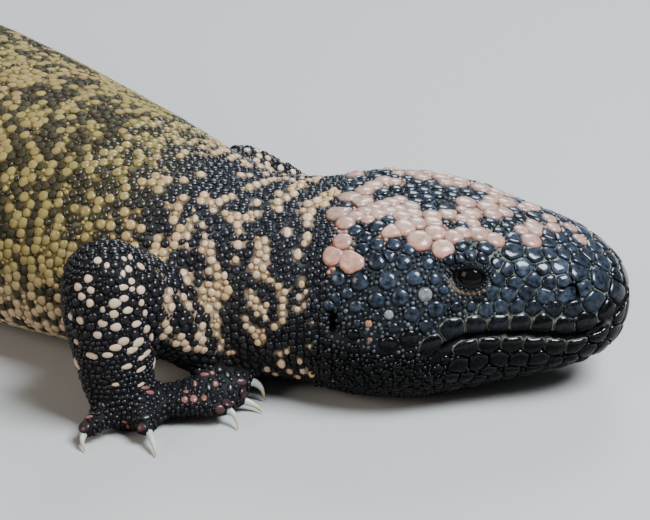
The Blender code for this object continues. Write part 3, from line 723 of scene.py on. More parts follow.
tones = {  # linear colours of the scales
    "black": (0.0060, 0.0062, 0.0075),
    "legBlack": (0.0098, 0.0086, 0.0100),
    # black with a painted blue sky sheen
    "sheenBlueBlack": (0.0125, 0.0125, 0.0165),
    "jet": (0.0018, 0.0018, 0.0022),
    # black plates with a painted blue sky sheen
    "sheenBluePlate": (0.0185, 0.0245, 0.0355),
    "oliveBlack": (0.036, 0.028, 0.013),
    "brownBlack": (0.022, 0.017, 0.014),
    "crownPink": (0.395, 0.257, 0.200),
    "blush": (0.56, 0.17, 0.08),
    "salmon": (0.50, 0.21, 0.12),
    "neckCream": (0.46, 0.30, 0.155),
    "backOchre": (0.235, 0.172, 0.056),
    "flankCream": (0.46, 0.33, 0.20),
    "spot": (0.56, 0.405, 0.28),
    "palePlate": (0.17, 0.175, 0.18),
    "orangePlate": (0.36, 0.17, 0.095),
    "toeRed": (0.22, 0.085, 0.07),
    "greySeam": (0.15, 0.155, 0.12),
    "slate": (0.022, 0.025, 0.029),
    "fleck": (0.10, 0.105, 0.10),
    "lidBrown": (0.11, 0.075, 0.05),
}


def rayThrough(x, y):  # the skin's place that the picture shows at a pixel, in millimetres
    across, down = x - view["middle"][0], y - view["middle"][1]
    ray = look * view["focal"] + rightward * across - upward * down
    place, out, _, _ = surface.ray_cast(Vector(viewPlace), Vector(ray).normalized())
    if place is None:
        return None, None, 1.0
    depth = (np.array(place) - viewPlace) @ look * 1000
    return toLocal(np.array(place)), np.array(out), depth / view["focal"]


def seenAt(table, x, y):  # the same, for a place in a table that was read enlarged
    return rayThrough(table["corner"][0] + x / table["zoom"], table["corner"][1] + y / table["zoom"])


def castStrokes():
    cast = {}
    for name, rows in strokes.items():
        cast[name] = []
        for x0, y0, x1, y1, width in rows:
            a, _, size = rayThrough(x0, y0)
            b, _, _ = rayThrough(x1, y1)
            if a is None or b is None or np.linalg.norm(a - b) > 20:
                continue
            cast[name].append((a, b, width * size))
        ends = np.array([(a, b) for a, b, _ in cast[name]]).reshape(-1, 3)
        s, left = bodyCoordinates(ends)
        angle = bodyAngle(s, left, ends[:, 2])
        twins = skinPlace(s + 1.7, math.pi - angle).reshape(-1, 2, 3)
        cast[name + "Far"] = [(a, b, mark[2]) for (a, b), mark in zip(twins, cast[name])]
    return cast


def segmentShare(points, a, b):  # how far along the line each point lies, and its distance
    along = b - a
    share = np.clip((points - a) @ along / max(along @ along, 1e-6), 0, 1)
    return share, np.linalg.norm(points - a - share[:, None] * along, axis=1)


def inMarks(points, name, spread):
    inside = np.zeros(len(points), bool)
    for a, b, width in marks[name]:
        inside |= segmentShare(points, a, b)[1] < width / 2 + spread
    return inside


def treeOf(points):
    tree = KDTree(len(points))
    for i, p in enumerate(points):
        tree.insert(p, i)
    tree.balance()
    return tree


def roughly(points, scale, seed=0.0):  # soft noise from -1 to 1 at each point
    return np.array([noise.noise(Vector((p[0] * scale[0] + seed, p[1] * scale[1], p[2] * scale[2])))
                     for p in points])


def mix(a, b, share):
    return np.array(a) * (1 - share) + np.array(b) * share


bodyMarks = {  # stations and lengths in millimetres
    "neckEnd": 84.0,
    "neckFade": 12.0,
    "spread": -0.1,  # how far a stroke's colour goes past its width
    "streaks": (0.8, 0.15, 0),
    "crumbs": (0.5, 0.35, 0),
    "clouds": (0.05, 0.035, 0),
    "saddles": (128.0, 42.0, 0.13),  # start, length and strength
    "bands": (305.0, 26.0),
    "tailStart": 303.0,
}


def shareOf(value, start, reach):  # rises from 0 to 1 over the reach
    return np.clip((value - start) / reach, 0, 1)


def wave(s, start, length, bend):
    return np.sin((s - start) / length * 2 * math.pi + bend)


def bodyTone(points):  # neck, trunk and tail
    s, left = bodyCoordinates(points)
    height = points[:, 2]
    angle = bodyAngle(s, left, height)
    half, back, *_ = section(s)
    girth = (half + back / 2) / 2
    flat = np.stack([s + 0.45 * (np.abs(angle - math.pi / 2) * girth), angle * girth, 0 * s], axis=1)
    fine = roughly(flat, bodyMarks["streaks"], 3.1) + 0.3 * roughly(flat, bodyMarks["crumbs"], 9.7)
    broad = roughly(flat, bodyMarks["clouds"], 5.5)
    spread, neckEnd = bodyMarks["spread"], bodyMarks["neckEnd"]
    beyond = angle < math.radians(78)
    marked = np.where(beyond, inMarks(points, "neckFar", spread), inMarks(points, "neck", spread))
    start, length, strength = bodyMarks["saddles"]
    saddles = strength * wave(s, start, length, 2.5 * broad) * shareOf(s, 120, 30)
    settled, lower = shareOf(s, neckEnd, 10), np.clip((30 - height) / 10, 0, 1)
    pale = fine + 0.2 * broad + saddles > 0.25 * (1 - settled) - 0.03 - 0.12 * lower
    pale = np.where(s < neckEnd, marked, pale | marked & (s < neckEnd + bodyMarks["neckFade"]))
    band = wave(s, *bodyMarks["bands"], 0.8 * broad)
    pale = np.where(s > bodyMarks["tailStart"], band + 0.9 * fine > 0.05, pale)
    under = (angle < -0.6) & (angle > -math.pi + 0.6) & (s > 80)
    pale |= under & (fine > -0.15)
    low = np.clip((24 - height) / 14, 0, 1)
    dusk = shareOf(s, 110, 100)
    redder = np.clip(dusk * (0.15 + 0.6 * low) + 0.6 * broad * dusk, 0, 0.9)[:, None]
    near = 1 - shareOf(s, neckEnd, bodyMarks["neckFade"])[:, None]
    warm = mix(tones["backOchre"], tones["flankCream"], low[:, None])
    warm = mix(mix(warm, tones["salmon"], redder), tones["neckCream"], near)
    # The neck's dark scales are bluer on top, a painted blue sheen, and browner lower down
    side = np.clip((34 - height) / 12, 0, 1)[:, None] * shareOf(s, 64, 14)[:, None]
    # painted shade: near the head and low down the dark scales turn towards jet black under the jaw
    jaw = np.clip((78 - s) / 18, 0, 1)[:, None] * np.clip((26 - height) / 8, 0, 1)[:, None]
    dark = mix(mix(tones["sheenBlueBlack"], tones["brownBlack"], side), np.array(tones["jet"]) * 2, jaw)
    dark = dark * near + np.array(tones["oliveBlack"]) * (1 - near)
    return np.where(pale[:, None], warm, dark)


headMarks = {  # a height or station where each begins, its reach and its strength
    # low: below this height the plates darken to jet black, a painted shade on the lower head
    "low": (24.0, 4.5),
    "front": (7.0, 4.0, 0.7),
    "blush": (20.0, 25.0, 0.30),
    "mostBlush": 0.35,
    "farSide": math.radians(70),
}


def headTone(points, spread):
    s, left = bodyCoordinates(points)
    angle = bodyAngle(s, left, points[:, 2])
    far = inMarks(points, "crownFar", spread) & (angle < headMarks["farSide"])
    pink = inMarks(points, "crown", spread) | far
    start, reach, strength = headMarks["blush"]
    lower = shareOf(np.degrees(np.abs(angle - math.pi / 2)), start, reach)[:, None] * strength
    # painted shade: plates darken to jet black low on the head
    start, reach = headMarks["low"]
    low = np.clip((start - points[:, 2]) / reach, 0, 1)[:, None]
    start, reach, strength = headMarks["front"]
    front = np.clip((start - s) / reach, 0, strength)[:, None]
    # the plates carry a painted blue sky sheen, which gives way to jet black low down and towards the snout
    # tip
    colour = mix(tones["sheenBluePlate"], tones["jet"], np.maximum(low, front))
    lower = np.clip(lower + 0.5 * roughly(points, (0.22, 0.22, 0.22), 6.1)[:, None], 0, headMarks["mostBlush"])
    colour[pink] = mix(tones["crownPink"], tones["blush"], lower)[pink]
    return colour, pink


def legTone(points, number):
    leg = list(legs.values())[number - 1]
    root, joint, ankle, _ = legPlaces(leg)
    upper = segmentShare(points, root, joint)[1] < segmentShare(points, joint, ankle)[1] - 0.5
    stripes = upper & (roughly(points, (0.2, 0.2, 0.2), number * 3.3) > 0.12)
    if number == 1:
        stripes = inMarks(points, "armStripe", 0.15)
    colour = np.tile(tones["legBlack"], (len(points), 1)).astype(float)
    colour[stripes] = np.array(tones["flankCream"]) * (1.05, 0.98, 1.0)
    return colour


def toneOf(points, region, spread=0.25):
    s, _ = bodyCoordinates(points)
    colour = np.zeros((len(points), 3))
    onHead = (region == 0) & (s < head["end"])
    onBody = (region == 0) & ~onHead
    if onHead.any():
        colour[onHead] = headTone(points[onHead], spread)[0]
    if onBody.any():
        colour[onBody] = bodyTone(points[onBody])
    for number in range(1, len(legs) + 1):
        here = region == number
        if here.any():
            colour[here] = legTone(points[here], number)
    return colour


skinShades = {"bright": 0.2, "body": 0.6, "head": (0.85, 0.72, 0.72), "lids": 0.7, "holes": 0.6}
lidMarks = {"reach": 2.6, "dark": 1.2, "brown": (1.3, 2.0), "crease": 1.05}  # distances outside the opening


def skinTone(skin):
    points = toLocal(vertexValues(skin.data, "co"))
    region = regionOf(points)
    tone = toneOf(points, region)
    s, _ = bodyCoordinates(points)
    bright = tone.sum(axis=1) > skinShades["bright"]
    onHead = (region == 0) & (s < head["end"])
    tone[bright & ~onHead] *= skinShades["body"]
    tone[bright & onHead] *= skinShades["head"]
    seam = mix(tones["slate"], tones["greySeam"], np.clip((33 - s) / 5, 0, 1)[:, None])
    # painted shade: the seams turn jet black low on the head, and also at the snout tip
    low = np.clip(np.maximum((17.5 - points[:, 2]) / 2.5, (5 - s) / 2), 0, 1)[:, None]
    seam = mix(seam, np.array(tones["jet"]) * 2, low)
    dark = onHead & ~bright
    tone[dark] = seam[dark]
    # painted shade: a black line along the mouth, where the lips meet
    line = np.abs(points[:, 2] - curveThrough(head["mouth"], s))
    mouth = (region == 0) & (s < head["mouthEnd"] + 1) & (line < 1.0)
    tone[mouth] = tones["black"]
    # painted shade: the nostrils and ears are coloured black round their openings
    for side in (-1, 1):
        for spot, reach in (("nostril", 2.7), ("ear", 2.2)):
            near = np.linalg.norm(points - featurePlace(spot, side), axis=1) < reach
            tone[near] = np.array(tones["black"]) * skinShades["holes"]
    outside, found = eyeRing(points)
    lids = (found[:, 0] != 0) & (outside < lidMarks["reach"])
    tone[lids] = np.array(tones["slate"]) * skinShades["lids"]
    tone[lids & (outside < lidMarks["dark"])] = np.array(tones["black"]) * skinShades["holes"]
    first, last = lidMarks["brown"]
    tone[lids & (outside > first) & (outside < last) & (found[:, 1] < -0.5)] = tones["lidBrown"]
    crease = lids & (np.abs(outside - lidMarks["crease"]) < 0.12) & (found[:, 1] < 0.3)
    tone[crease] = np.array(tones["fleck"]) * 0.6
    setAttribute(skin.data, "tone", "FLOAT_COLOR", withAlpha(tone))


marks = castStrokes()
skinTone(skin)
print("marked")

# Plates of the head. Kinds: 0 plain, 1 pale, 2 orange, 3 lip, 4 pink
plateSettings = {
    "directions": 18, "groove": 0.16, "seed": 4, "rounds": 26, "lip": 0.36, "lipSpacing": 4.2, "tries": 4200,
}
plateZones = {  # distance between plates, and the most that one reaches from its middle
    "plain": (4.1, 9.0), "crown": (3.0, 1.6), "temple": (4.35, 2.0), "cheek": (2.5, 1.1), "chin": (3.3, 2.0),
    "eye": (2.3, 1.2),
}
flatRings = [(1.0, -0.5, 0.0), (1.0, 0.0, 0.34), (0.92, 0.0, 0.74), (0.7, 0.0, 0.94), (0.36, 0.0, 1.0)]
domeRings = [(1.0, -0.5, 0.0), (1.0, 0.0, 0.2), (0.9, 0.0, 0.56), (0.66, 0.0, 0.84), (0.34, 0.0, 0.97)]


def angleAtHeight(s, side, height):
    angles = np.radians(np.linspace(-80, 80, 161))
    heights = skinPlace(np.full(161, s), angles)[:, 2]
    angle = angles[np.abs(heights - height).argmin()]
    return angle if side > 0 else math.pi - angle


def eyeDistance(points):
    far = 1e3
    best = np.full(len(points), far)
    for side in (-1, 1):
        centre, ahead, up, out = eyeFrame(side)
        local = points - centre
        flat = np.sqrt((local @ ahead) ** 2 + (local @ up * 1.25) ** 2)
        best = np.minimum(best, np.where(local @ out > -3, flat, far))
    return best


def headSpacing(s, height, points):
    temple = (s > 31) & (height > 16.5) & (height <= 32.5)
    zones = {
        "plain": np.full(len(s), True),
        "crown": (height > 32.5) & (s > 22),
        "temple": temple,
        "cheek": (s > 35) & (height <= 16.5),
        "chin": (height < 10) & (s <= 35),
    }
    spacing, cap = np.empty(len(s)), np.empty(len(s))
    for name, here in zones.items():
        spacing[here], cap[here] = plateZones[name]
    spacing[(s > 11) & (s < 29) & (height > 21.5) & (height <= 33)] = 3.1
    late = np.clip((s - 44) / 12, 0, 1)
    spacing = np.where(temple, 4.35 - 1.7 * late, spacing)
    cap = np.where(temple, 2.0 - 0.75 * late, cap)
    close = (eyeDistance(points) < 7.0) & ~temple
    spacing[close], cap[close] = plateZones["eye"]
    pink = headTone(points, 0.3)[1]
    spacing[pink] = 3.1 + 1.1 * roughly(points[pink], (0.35, 0.35, 0.35), 4.4)
    cap[pink] = plateZones["plain"][1]
    return spacing, cap


def distanceTo(points, spot, squeeze=(1, 1, 1)):
    right, left = (points - featurePlace(spot, side) for side in (-1, 1))
    return np.minimum(np.linalg.norm(right * squeeze, axis=1), np.linalg.norm(left * squeeze, axis=1))


def clearOfFeatures(s, points):
    clear = (eyeDistance(points) > 4.9) & (distanceTo(points, "nostril") > 1.9)
    clear &= (distanceTo(points, "ear", (1, 1, 0.6)) > 2.2) & (s < head["end"]) & (s > 0.8)
    line = np.abs(points[:, 2] - curveThrough(head["mouth"], s))
    return clear & ((s > head["mouthEnd"] + 1) | (line > 3.4))


def seenShape(name, wide):  # how far a plate of the picture reaches, and its height
    if name == "flat":
        return 9, 0.66
    if name == "pinks":
        return wide * 0.62, 0.3 + 0.2 * wide
    if name == "petals":
        return wide * 0.66, 0.2 + 0.15 * wide + 0.35
    return wide * 0.5, 0.2 + 0.15 * wide


def seenPlates():  # plates where the picture shows them, and their twins on the far side
    seeds = []
    for name, kind in (("petals", 0), ("domes", 0), ("pale", 1), ("orange", 2), ("pinks", 4), ("flat", 0)):
        for x, y, width in platesSeen[name]:
            place, _, size = seenAt(platesSeen, x, y)
            if place is None:
                continue
            s, left = bodyCoordinates(place[None])
            angle = bodyAngle(s, left, place[None, 2])[0]
            s, wide = float(s[0]), width / platesSeen["zoom"] * size
            if not 1.5 < s < head["end"] - 1:
                continue
            cap, tall = seenShape(name, wide)
            seeds.append((s, angle, wide * 1.12, cap, tall, kind))
            if angle > math.radians(105):
                seeds.append((s + 0.4, math.pi - angle, wide * 1.12, cap, tall, kind))
    return seeds


def fixedSeeds():  # lip, snout and seen plates: station, angle, spacing, reach, height, kind
    seeds = []
    for side in (-1, 1):
        for s in np.arange(4.4, 41, plateSettings["lipSpacing"]):
            line = float(curveThrough(head["mouth"], s))
            seeds.append((s, angleAtHeight(s, side, line + 2.1), 4.1, 9, 0.84, 3))
            if s < head["mouthEnd"] - 5:
                seeds.append((s + 1.6, angleAtHeight(s, side, line - 2.2), 4.1, 9, 0.88, 3))
        line = float(curveThrough(head["mouth"], 1.9))
        seeds.append((1.9, angleAtHeight(1.9, side, line - 2.2), 3.8, 9, 0.66, 0))
    seeds += [(1.3, math.pi / 2, 4.6, 9, 0.6, 0), (1.6, -math.pi / 2, 4.4, 9, 0.6, 0)]
    places = [skinPlace(k[0], k[1]) for k in seeds]
    for seed in seenPlates():
        place = skinPlace(seed[0], seed[1])
        gaps = np.linalg.norm(np.array(places) - place, axis=1)
        if (gaps > 0.33 * (np.array([k[2] for k in seeds]) + seed[2])).all():
            seeds.append(seed)
            places.append(place)
    return np.array(seeds, float)


def looseSeeds(rng, places, spacing):  # plates thrown on the head wherever there is room
    loose = []
    for share in (0.86, 0.8, 0.74):
        tries = plateSettings["tries"]
        trialS, trialAngle = rng.uniform(1.0, head["end"], tries), rng.uniform(0, 2 * math.pi, tries)
        points = skinPlace(trialS, trialAngle)
        wide, _ = headSpacing(trialS, points[:, 2], points)
        for i in np.flatnonzero(clearOfFeatures(trialS, points)):
            near = np.linalg.norm(np.array(places) - points[i], axis=1)
            if (near >= share * (wide[i] + np.array(spacing)) / 2).all():
                loose.append((trialS[i], trialAngle[i]))
                places.append(points[i])
                spacing.append(wide[i])
    return np.array(loose)


def headSeeds():
    rng = np.random.default_rng(plateSettings["seed"])
    fixed = fixedSeeds()
    first, spacing, places = len(fixed), list(fixed[:, 2]), list(skinPlace(fixed[:, 0], fixed[:, 1]))
    loose = looseSeeds(rng, places, spacing)
    s, angle = np.concatenate([fixed[:, :2], loose]).T
    places, spacing = np.array(places), np.array(spacing)
    cap = np.concatenate([fixed[:, 3], np.zeros(len(loose))])
    kind = np.concatenate([fixed[:, 5], np.zeros(len(loose))])
    for _ in range(plateSettings["rounds"]):  # plates push each other until they lie evenly
        tree = treeOf(places)
        move = np.zeros_like(places)
        for i in range(first, len(places)):
            for _, j, gap in tree.find_range(Vector(places[i]), 5.2):
                need = (spacing[i] + spacing[j]) / 2
                if j != i and gap < need:
                    move[i] += (places[i] - places[j]) / max(gap, 0.05) * (need - gap) * 0.3
        trial = places + move
        trialS, left = bodyCoordinates(trial)
        trialAngle = bodyAngle(trialS, left, trial[:, 2])
        trial = skinPlace(trialS, trialAngle)
        ok = clearOfFeatures(trialS, trial)
        ok[:first] = False
        s[ok], angle[ok], places[ok] = trialS[ok], trialAngle[ok], trial[ok]
        wide, reach = headSpacing(s, places[:, 2], places)
        spacing[first:], cap[first:] = wide[first:], reach[first:]
    tall = np.where(cap < 3, 0.2 + 0.3 * np.minimum(cap, 2.2), 0.66)
    tall[:first] = fixed[:, 4]
    pink = headTone(places, 0.5)[1] & (kind == 0)
    tall += pink * rng.uniform(0.1, 0.5, len(tall))
    cap[pink] = plateZones["plain"][1]
    return s, angle, spacing, cap, tall, kind, pink + 2 * (kind == 4)


def awayFromMouth(place, direction, reach):  # shorter, where the plate would cross the lips
    for _ in range(12):
        q = place + direction * reach
        s, _ = bodyCoordinates(q[None])
        line = curveThrough(head["mouth"], s)[0]
        same = (place[2] - line) * (q[2] - line) > 0
        if s[0] > head["mouthEnd"] or (same and abs(q[2] - line) > plateSettings["lip"]):
            break
        reach *= 0.9
    return reach


def plateOutlines(places, outs, spacing, cap, s, pink):
    turns = 2 * np.pi * np.arange(plateSettings["directions"]) / plateSettings["directions"]
    spokes = np.stack([np.cos(turns), np.sin(turns)], axis=1)
    tree = treeOf(places)
    results = []
    for i, (place, out) in enumerate(zip(places, outs)):
        along = tailward - out * (tailward @ out)
        if np.linalg.norm(along) < 0.05:
            along = np.array([0, 0, 1.0]) - out * out[2]
        along /= np.linalg.norm(along)
        across = np.cross(out, along)
        reach = np.full(len(turns), cap[i])
        for _, j, gap in tree.find_range(Vector(place), 2.6 * max(spacing[i], 3.0)):
            if j == i or gap < 1e-6 or outs[j] @ out < -0.2:
                continue
            d = places[j] - place
            flat = np.array([d @ along, d @ across])
            flat *= gap / max(np.linalg.norm(flat), 1e-6)
            share = spacing[i] / (spacing[i] + spacing[j])
            facing = spokes @ flat
            limit = np.where(facing > 1e-6, share * gap * gap / np.maximum(facing, 1e-6), 99)
            reach = np.minimum(reach, limit * (1.3 if pink[i] == 2 else 1))
        reach = np.minimum(reach, spacing[i] * 0.85) - plateSettings["groove"] * (-0.9 if pink[i] else 0.5)
        if s[i] < head["mouthEnd"] + 3 and abs(place[2] - curveThrough(head["mouth"], s[i])) < 5:
            reach = np.array([awayFromMouth(place, along * x + across * y, r)
                              for (x, y), r in zip(spokes, reach)])
        soft = 0.15 * np.roll(reach, 1) + 0.7 * reach + 0.15 * np.roll(reach, -1)
        results.append((along, across, np.maximum(np.minimum(reach, soft), 0.25)))
    return spokes, results


def keepAboveFloor(mesh):
    co = vertexValues(mesh, "co")
    co[:, 2] = np.maximum(co[:, 2], 0)
    moveVertices(mesh, co)


def uphill(out):  # the steepest way up a surface, level where the surface is
    up = np.array([0, 0, 1.0]) - out * out[2]
    return up / max(np.linalg.norm(up), 0.4)


def makePlates():
    s, angle, spacing, cap, tall, kind, pink = headSeeds()
    places, outs = ontoSkin(skinPlace(s, angle, -form["under"]))
    spokes, outlines = plateOutlines(places, outs, spacing, cap, s, pink)
    tone = headTone(places, 0.5)[0]
    tone[kind == 1], tone[kind == 2] = tones["palePlate"], tones["orangePlate"]
    tone[kind == 4] = mix(tones["crownPink"], tones["blush"], 0.1)
    rng = np.random.default_rng(plateSettings["seed"] + 1)
    uneven = rng.normal(0, 1, (len(tone), 1)).clip(-2, 2)
    tone *= 1 + uneven * np.where(tone.sum(axis=1, keepdims=True) > 0.3, 0.08, 0.28)
    sides = len(spokes)
    verts, faces, colours, lifts, uvs = [], [], [], [], []
    for i, (along, across, reach) in enumerate(outlines):
        start = len(verts)
        root = rootPlace(s[i], angle[i])
        flatPoints, heights = [], []
        for share, drop, lift in (domeRings if cap[i] < 3 or kind[i] == 3 else flatRings):
            flatPoints += [places[i] + (along * x + across * y) * r * share
                           for (x, y), r in zip(spokes, reach)]
            heights += [drop + lift * tall[i]] * sides
        flatPoints.append(places[i])
        heights.append(tall[i])
        on, normals = ontoSkin(flatPoints)
        blend = normals * 0.35 + outs[i] * 0.65
        blend /= np.linalg.norm(blend, axis=1, keepdims=True)
        verts += list(on + blend * np.array(heights)[:, None])
        rises = np.maximum(np.array(heights) / tall[i], 0)
        wide = max(reach.max(), 0.1)
        below = np.clip(-(np.array(flatPoints) - places[i]) @ uphill(outs[i]) / wide, 0, 1)[:, None]
        warm = 0.42 * below if pink[i] else 0 * below
        shades = mix(tone[i], tones["blush"], warm)
        if kind[i] == 3 and s[i] > 9:  # a lip plate's edge is as pale as the seam beside it, and spared the painted shade at the foot
            shades[:2 * sides], rises[:2 * sides] = tones["greySeam"], 0.8
        colours += list(shades)
        lifts += list(rises)
        uvs += [(root[0] + (q @ along) / wide * patch, root[1] + (q @ across) / wide * patch)
                for q in np.array(flatPoints) - places[i]]
        faces += ringFaces(start, len(flatRings), sides)
        apex = start + len(flatRings) * sides
        for k in range(sides):
            faces.append((apex - sides + k, apex - sides + (k + 1) % sides, apex))
        faces.append(tuple(start + k for k in reversed(range(sides))))
    obj = meshObject("head_plates", toWorld(verts), faces)
    keepAboveFloor(obj.data)
    finishScales(obj, colours, lifts, uvs)
    return obj, places, outlines


def rootPlace(s, angle, leg=0, share=0.0):  # a place on the flat unwrap of the skin's shape
    turned = (angle % (2 * math.pi)) / (2 * math.pi)
    if leg:
        return 0.02 + 0.9 * share, 0.74 + 0.06 * (leg - 1) + 0.05 * turned
    return 0.02 + 0.96 * s / form["length"], 0.02 + 0.69 * turned


patch = 0.0015  # half of a scale's own width on the unwrap


def finishScales(obj, colours, lifts, uvs):
    mesh = obj.data
    setAttribute(mesh, "tone", "FLOAT_COLOR", withAlpha(np.array(colours)))
    # lift: each point's share of the scale's height; the finish darkens low points as a painted shade
    setAttribute(mesh, "lift", "FLOAT", np.array(lifts))
    layer = mesh.uv_layers.new(name="OFBake")
    corners = np.empty(len(mesh.loops), int)
    mesh.loops.foreach_get("vertex_index", corners)
    layer.data.foreach_set("uv", np.array(uvs)[corners].ravel())
    mesh.shade_smooth()


plates, platePlaces, plateShapes = makePlates()
print("head plates", len(platePlaces))

# Beads of the neck, body, tail and legs. Kinds: 0 plain, 1 pale spot, 2 fine, 3 along a toe, 4 over a claw,
# 5 small filler, and 10 more for one that lies where the picture shows it
beadSettings = {
    "crowd": (0.76, 0.16), "seenCrowd": 0.72,  # how close beads stand, and those that the picture shows
    "fillLeg": (0.22, 0.45), "fillBody": (0.31, 0.8),  # least and most radius of a small filler
    "upperPitch": 1.9, "spotPitch": 3.1, "finePitch": 1.22, "footPitch": 1.0, "seed": 11, "fineReach": 104.0,
}
beadKeys = ("place", "out", "along", "half", "root", "region", "station", "kind")


def bodyPitch(s):
    return np.interp(s, [58, 68, 95, 125, 300, 420, 435], [1.4, 1.55, 1.75, 2.0, 2.6, 2.5, 2.0])


def beadRows():
    rng = np.random.default_rng(beadSettings["seed"])
    stations, angles, pitches = [], [], []
    s, row = head["end"] + 0.9, 0
    while s < 434:
        pitch = float(bodyPitch(s))
        around = skinPlace(np.full(181, s), np.linspace(0, 2 * math.pi, 181))
        lengths = np.concatenate([[0], np.cumsum(np.linalg.norm(np.diff(around, axis=0), axis=1))])
        count = max(int(lengths[-1] / (pitch * 1.03)), 5)
        offsets = (np.arange(count) + 0.5 * (row % 2)) / count * lengths[-1]
        offsets += rng.normal(0, 0.15 * pitch, count)
        stations += list(s + rng.normal(0, 0.12 * pitch, count))
        angles += list(np.interp(offsets % lengths[-1], lengths, np.linspace(0, 2 * math.pi, 181)))
        pitches += [pitch] * count
        s += pitch * 0.9
        row += 1
    return np.array(stations), np.array(angles), np.array(pitches)


def turnedFrame(outs, along):
    along = along - outs * (along * outs).sum(axis=1, keepdims=True)
    along /= np.maximum(np.linalg.norm(along, axis=1, keepdims=True), 1e-6)
    return along, np.cross(outs, along)


def bodyBeads():
    s, angle, pitch = beadRows()
    raw = skinPlace(s, angle, -form["under"])
    places, outs = ontoSkin(raw)
    keep = (np.linalg.norm(places - raw, axis=1) < 1.6) & (regionOf(places) == 0) & (places[:, 2] > 0.05)
    heading = np.interp(s, midline[0], midline[3])
    along, _ = turnedFrame(outs, -np.stack([np.cos(heading), np.sin(heading), np.zeros(len(s))], axis=1))
    tall = np.interp(s, [60, 90, 130], [0.30, 0.26, 0.15]) * pitch
    half = np.stack([0.53 * pitch, 0.56 * pitch, tall], axis=1)
    roots = np.array([rootPlace(a, b) for a, b in zip(s, angle)])
    beads = dict(place=places, out=outs, along=along, half=half, root=roots,
                 region=np.zeros(len(s), int), station=s, kind=np.zeros(len(s), int))
    return {k: v[keep] for k, v in beads.items()}


def aroundLine(a, b, radius, pitch, stretch, rng, start=None):  # rows of places round a limb
    length = np.linalg.norm(b - a)
    ahead = (b - a) / length
    side, up = squareTo(ahead)
    raws, turnsAll, shares = [], [], []
    start = -radius * 0.95 if start is None else start
    for r, t in enumerate(np.arange(start, length + radius * 0.95, pitch * 0.9)):
        past = max(-t, t - length, 0) / radius
        shrink = math.sqrt(max(1 - past**2, 0.04))
        count = max(int(2 * math.pi * radius * shrink / (pitch * stretch)), 4)
        turns = 2 * math.pi * (np.arange(count) + 0.5 * (r % 2)) / count + rng.normal(0, 0.6 / count, count)
        ring = (np.cos(turns)[:, None] * side + np.sin(turns)[:, None] * up) * radius * shrink
        raws.append(a + ahead * (t + rng.normal(0, 0.09 * pitch, (count, 1))) + ring)
        turnsAll.append(turns)
        shares.append(np.full(count, np.clip(t / length, 0, 1)))
    return np.concatenate(raws), np.concatenate(turnsAll), np.concatenate(shares), ahead


def legBeads(leg, number, rng):
    root, joint, ankle, palm = legPlaces(leg)
    found = {k: [] for k in beadKeys}

    def add(raw, turns, ahead, half, kind, share, most, check=None):
        places, outs = ontoSkin(raw)
        keep = (np.linalg.norm(places - raw, axis=1) < most) & (places[:, 2] > 0.1)
        keep &= regionOf(places) == number
        if check is not None:
            keep &= check(places, outs)
        if not keep.any():
            return
        places, outs, turns, share = places[keep], outs[keep], turns[keep], share[keep]
        count = len(places)
        along, _ = turnedFrame(outs, np.tile(ahead, (count, 1)))
        roots = np.array([rootPlace(0, w, number, v) for w, v in zip(turns, share)])
        values = (places, outs, along, np.tile(half, (count, 1)), roots, np.full(count, number),
                  np.full(count, float(leg["station"])), np.full(count, kind))
        for key, value in zip(beadKeys, values):
            found[key].append(value)

    def cover(a, b, radius, pitch, stretch, half, kind, first, span, most, start=None, check=None):
        raw, turns, share, ahead = aroundLine(a, b, radius, pitch, stretch, rng, start)
        add(raw, turns, ahead, half, kind, first + span * share, most, check)

    def sized(pitch, *shares):
        return [share * pitch for share in shares]

    def spotted(places, outs):
        chosen = (rng.random(len(places)) < 0.66) & (places[:, 2] > 10.5)
        chosen &= roughly(places, (0.12, 0.12, 0.12), number * 2.7) > -0.3
        return chosen & (outs @ look > 0.05) if number == 1 else chosen

    spot, upper = beadSettings["spotPitch"], beadSettings["upperPitch"]
    fine, foot = beadSettings["finePitch"], beadSettings["footPitch"]
    shin, thigh = leg["radii"][2], leg["radii"][1] + 0.5
    cover(joint, ankle, shin, spot, 1.0, (0.85, 1.15, 0.5), 1, 0.3, 0.3, 2.5, -2, spotted)
    for k, (end, _) in enumerate(leg["toes"]):  # broad scales along the top of each toe
        end = legPlace(leg, end)
        line = np.array(toeLine(palm, end))
        length = np.linalg.norm(end - palm)
        steps = np.linspace(0.30, 0.92, max(int(length * 0.62 / 1.75), 3))
        tops = np.stack([np.interp(steps, feet["toeShares"], line[:, c]) for c in range(3)], axis=1)
        shares = 0.7 + 0.05 * k + 0.03 * steps
        add(tops + (0, 0, 2.3), np.zeros(len(tops)), end - palm, (0.74, 1.2, 0.36), 3, shares, 3)
        tip = end + (end - palm) / length * 0.9 + (0, 0, 1.5)
        add(tip[None], np.zeros(1), end - palm, (1.3, 1.35, 0.55), 4, np.array([0.74 + 0.05 * k]), 3)
    cover(root, joint, thigh, upper, 1.0, sized(upper, 0.5, 0.52, 0.3), 0, 0, 0.3, 4)
    cover(joint, ankle, shin, fine, 1.0, sized(fine, 0.5, 0.54, 0.36), 2, 0.3, 0.3, 3.2)
    cover(joint, ankle, shin, 0.7 * fine, 1.0, sized(fine, 0.44, 0.48, 0.33), 2, 0.3, 0.3, 3.2)
    cover(root, joint, thigh, 0.6 * upper, 1.0, sized(upper, 0.36, 0.38, 0.26), 2, 0, 0.3, 4)
    cover(ankle, palm, 7.0, foot, 1.5, sized(foot, 0.5, 0.78, 0.34), 2, 0.6, 0.1, 4)
    for k, (end, _) in enumerate(leg["toes"]):
        end, first = legPlace(leg, end), 0.7 + 0.05 * k
        cover(palm, end, 2.5, foot, 1.5, sized(foot, 0.5, 0.78, 0.34), 2, first, 0.04, 1.8, 1.5)
        cover(palm, end, 2.5, 0.7 * foot, 1.2, sized(foot, 0.44, 0.6, 0.3), 2, first, 0.04, 1.8, 1.5)
    return {k: np.concatenate(v) for k, v in found.items()}


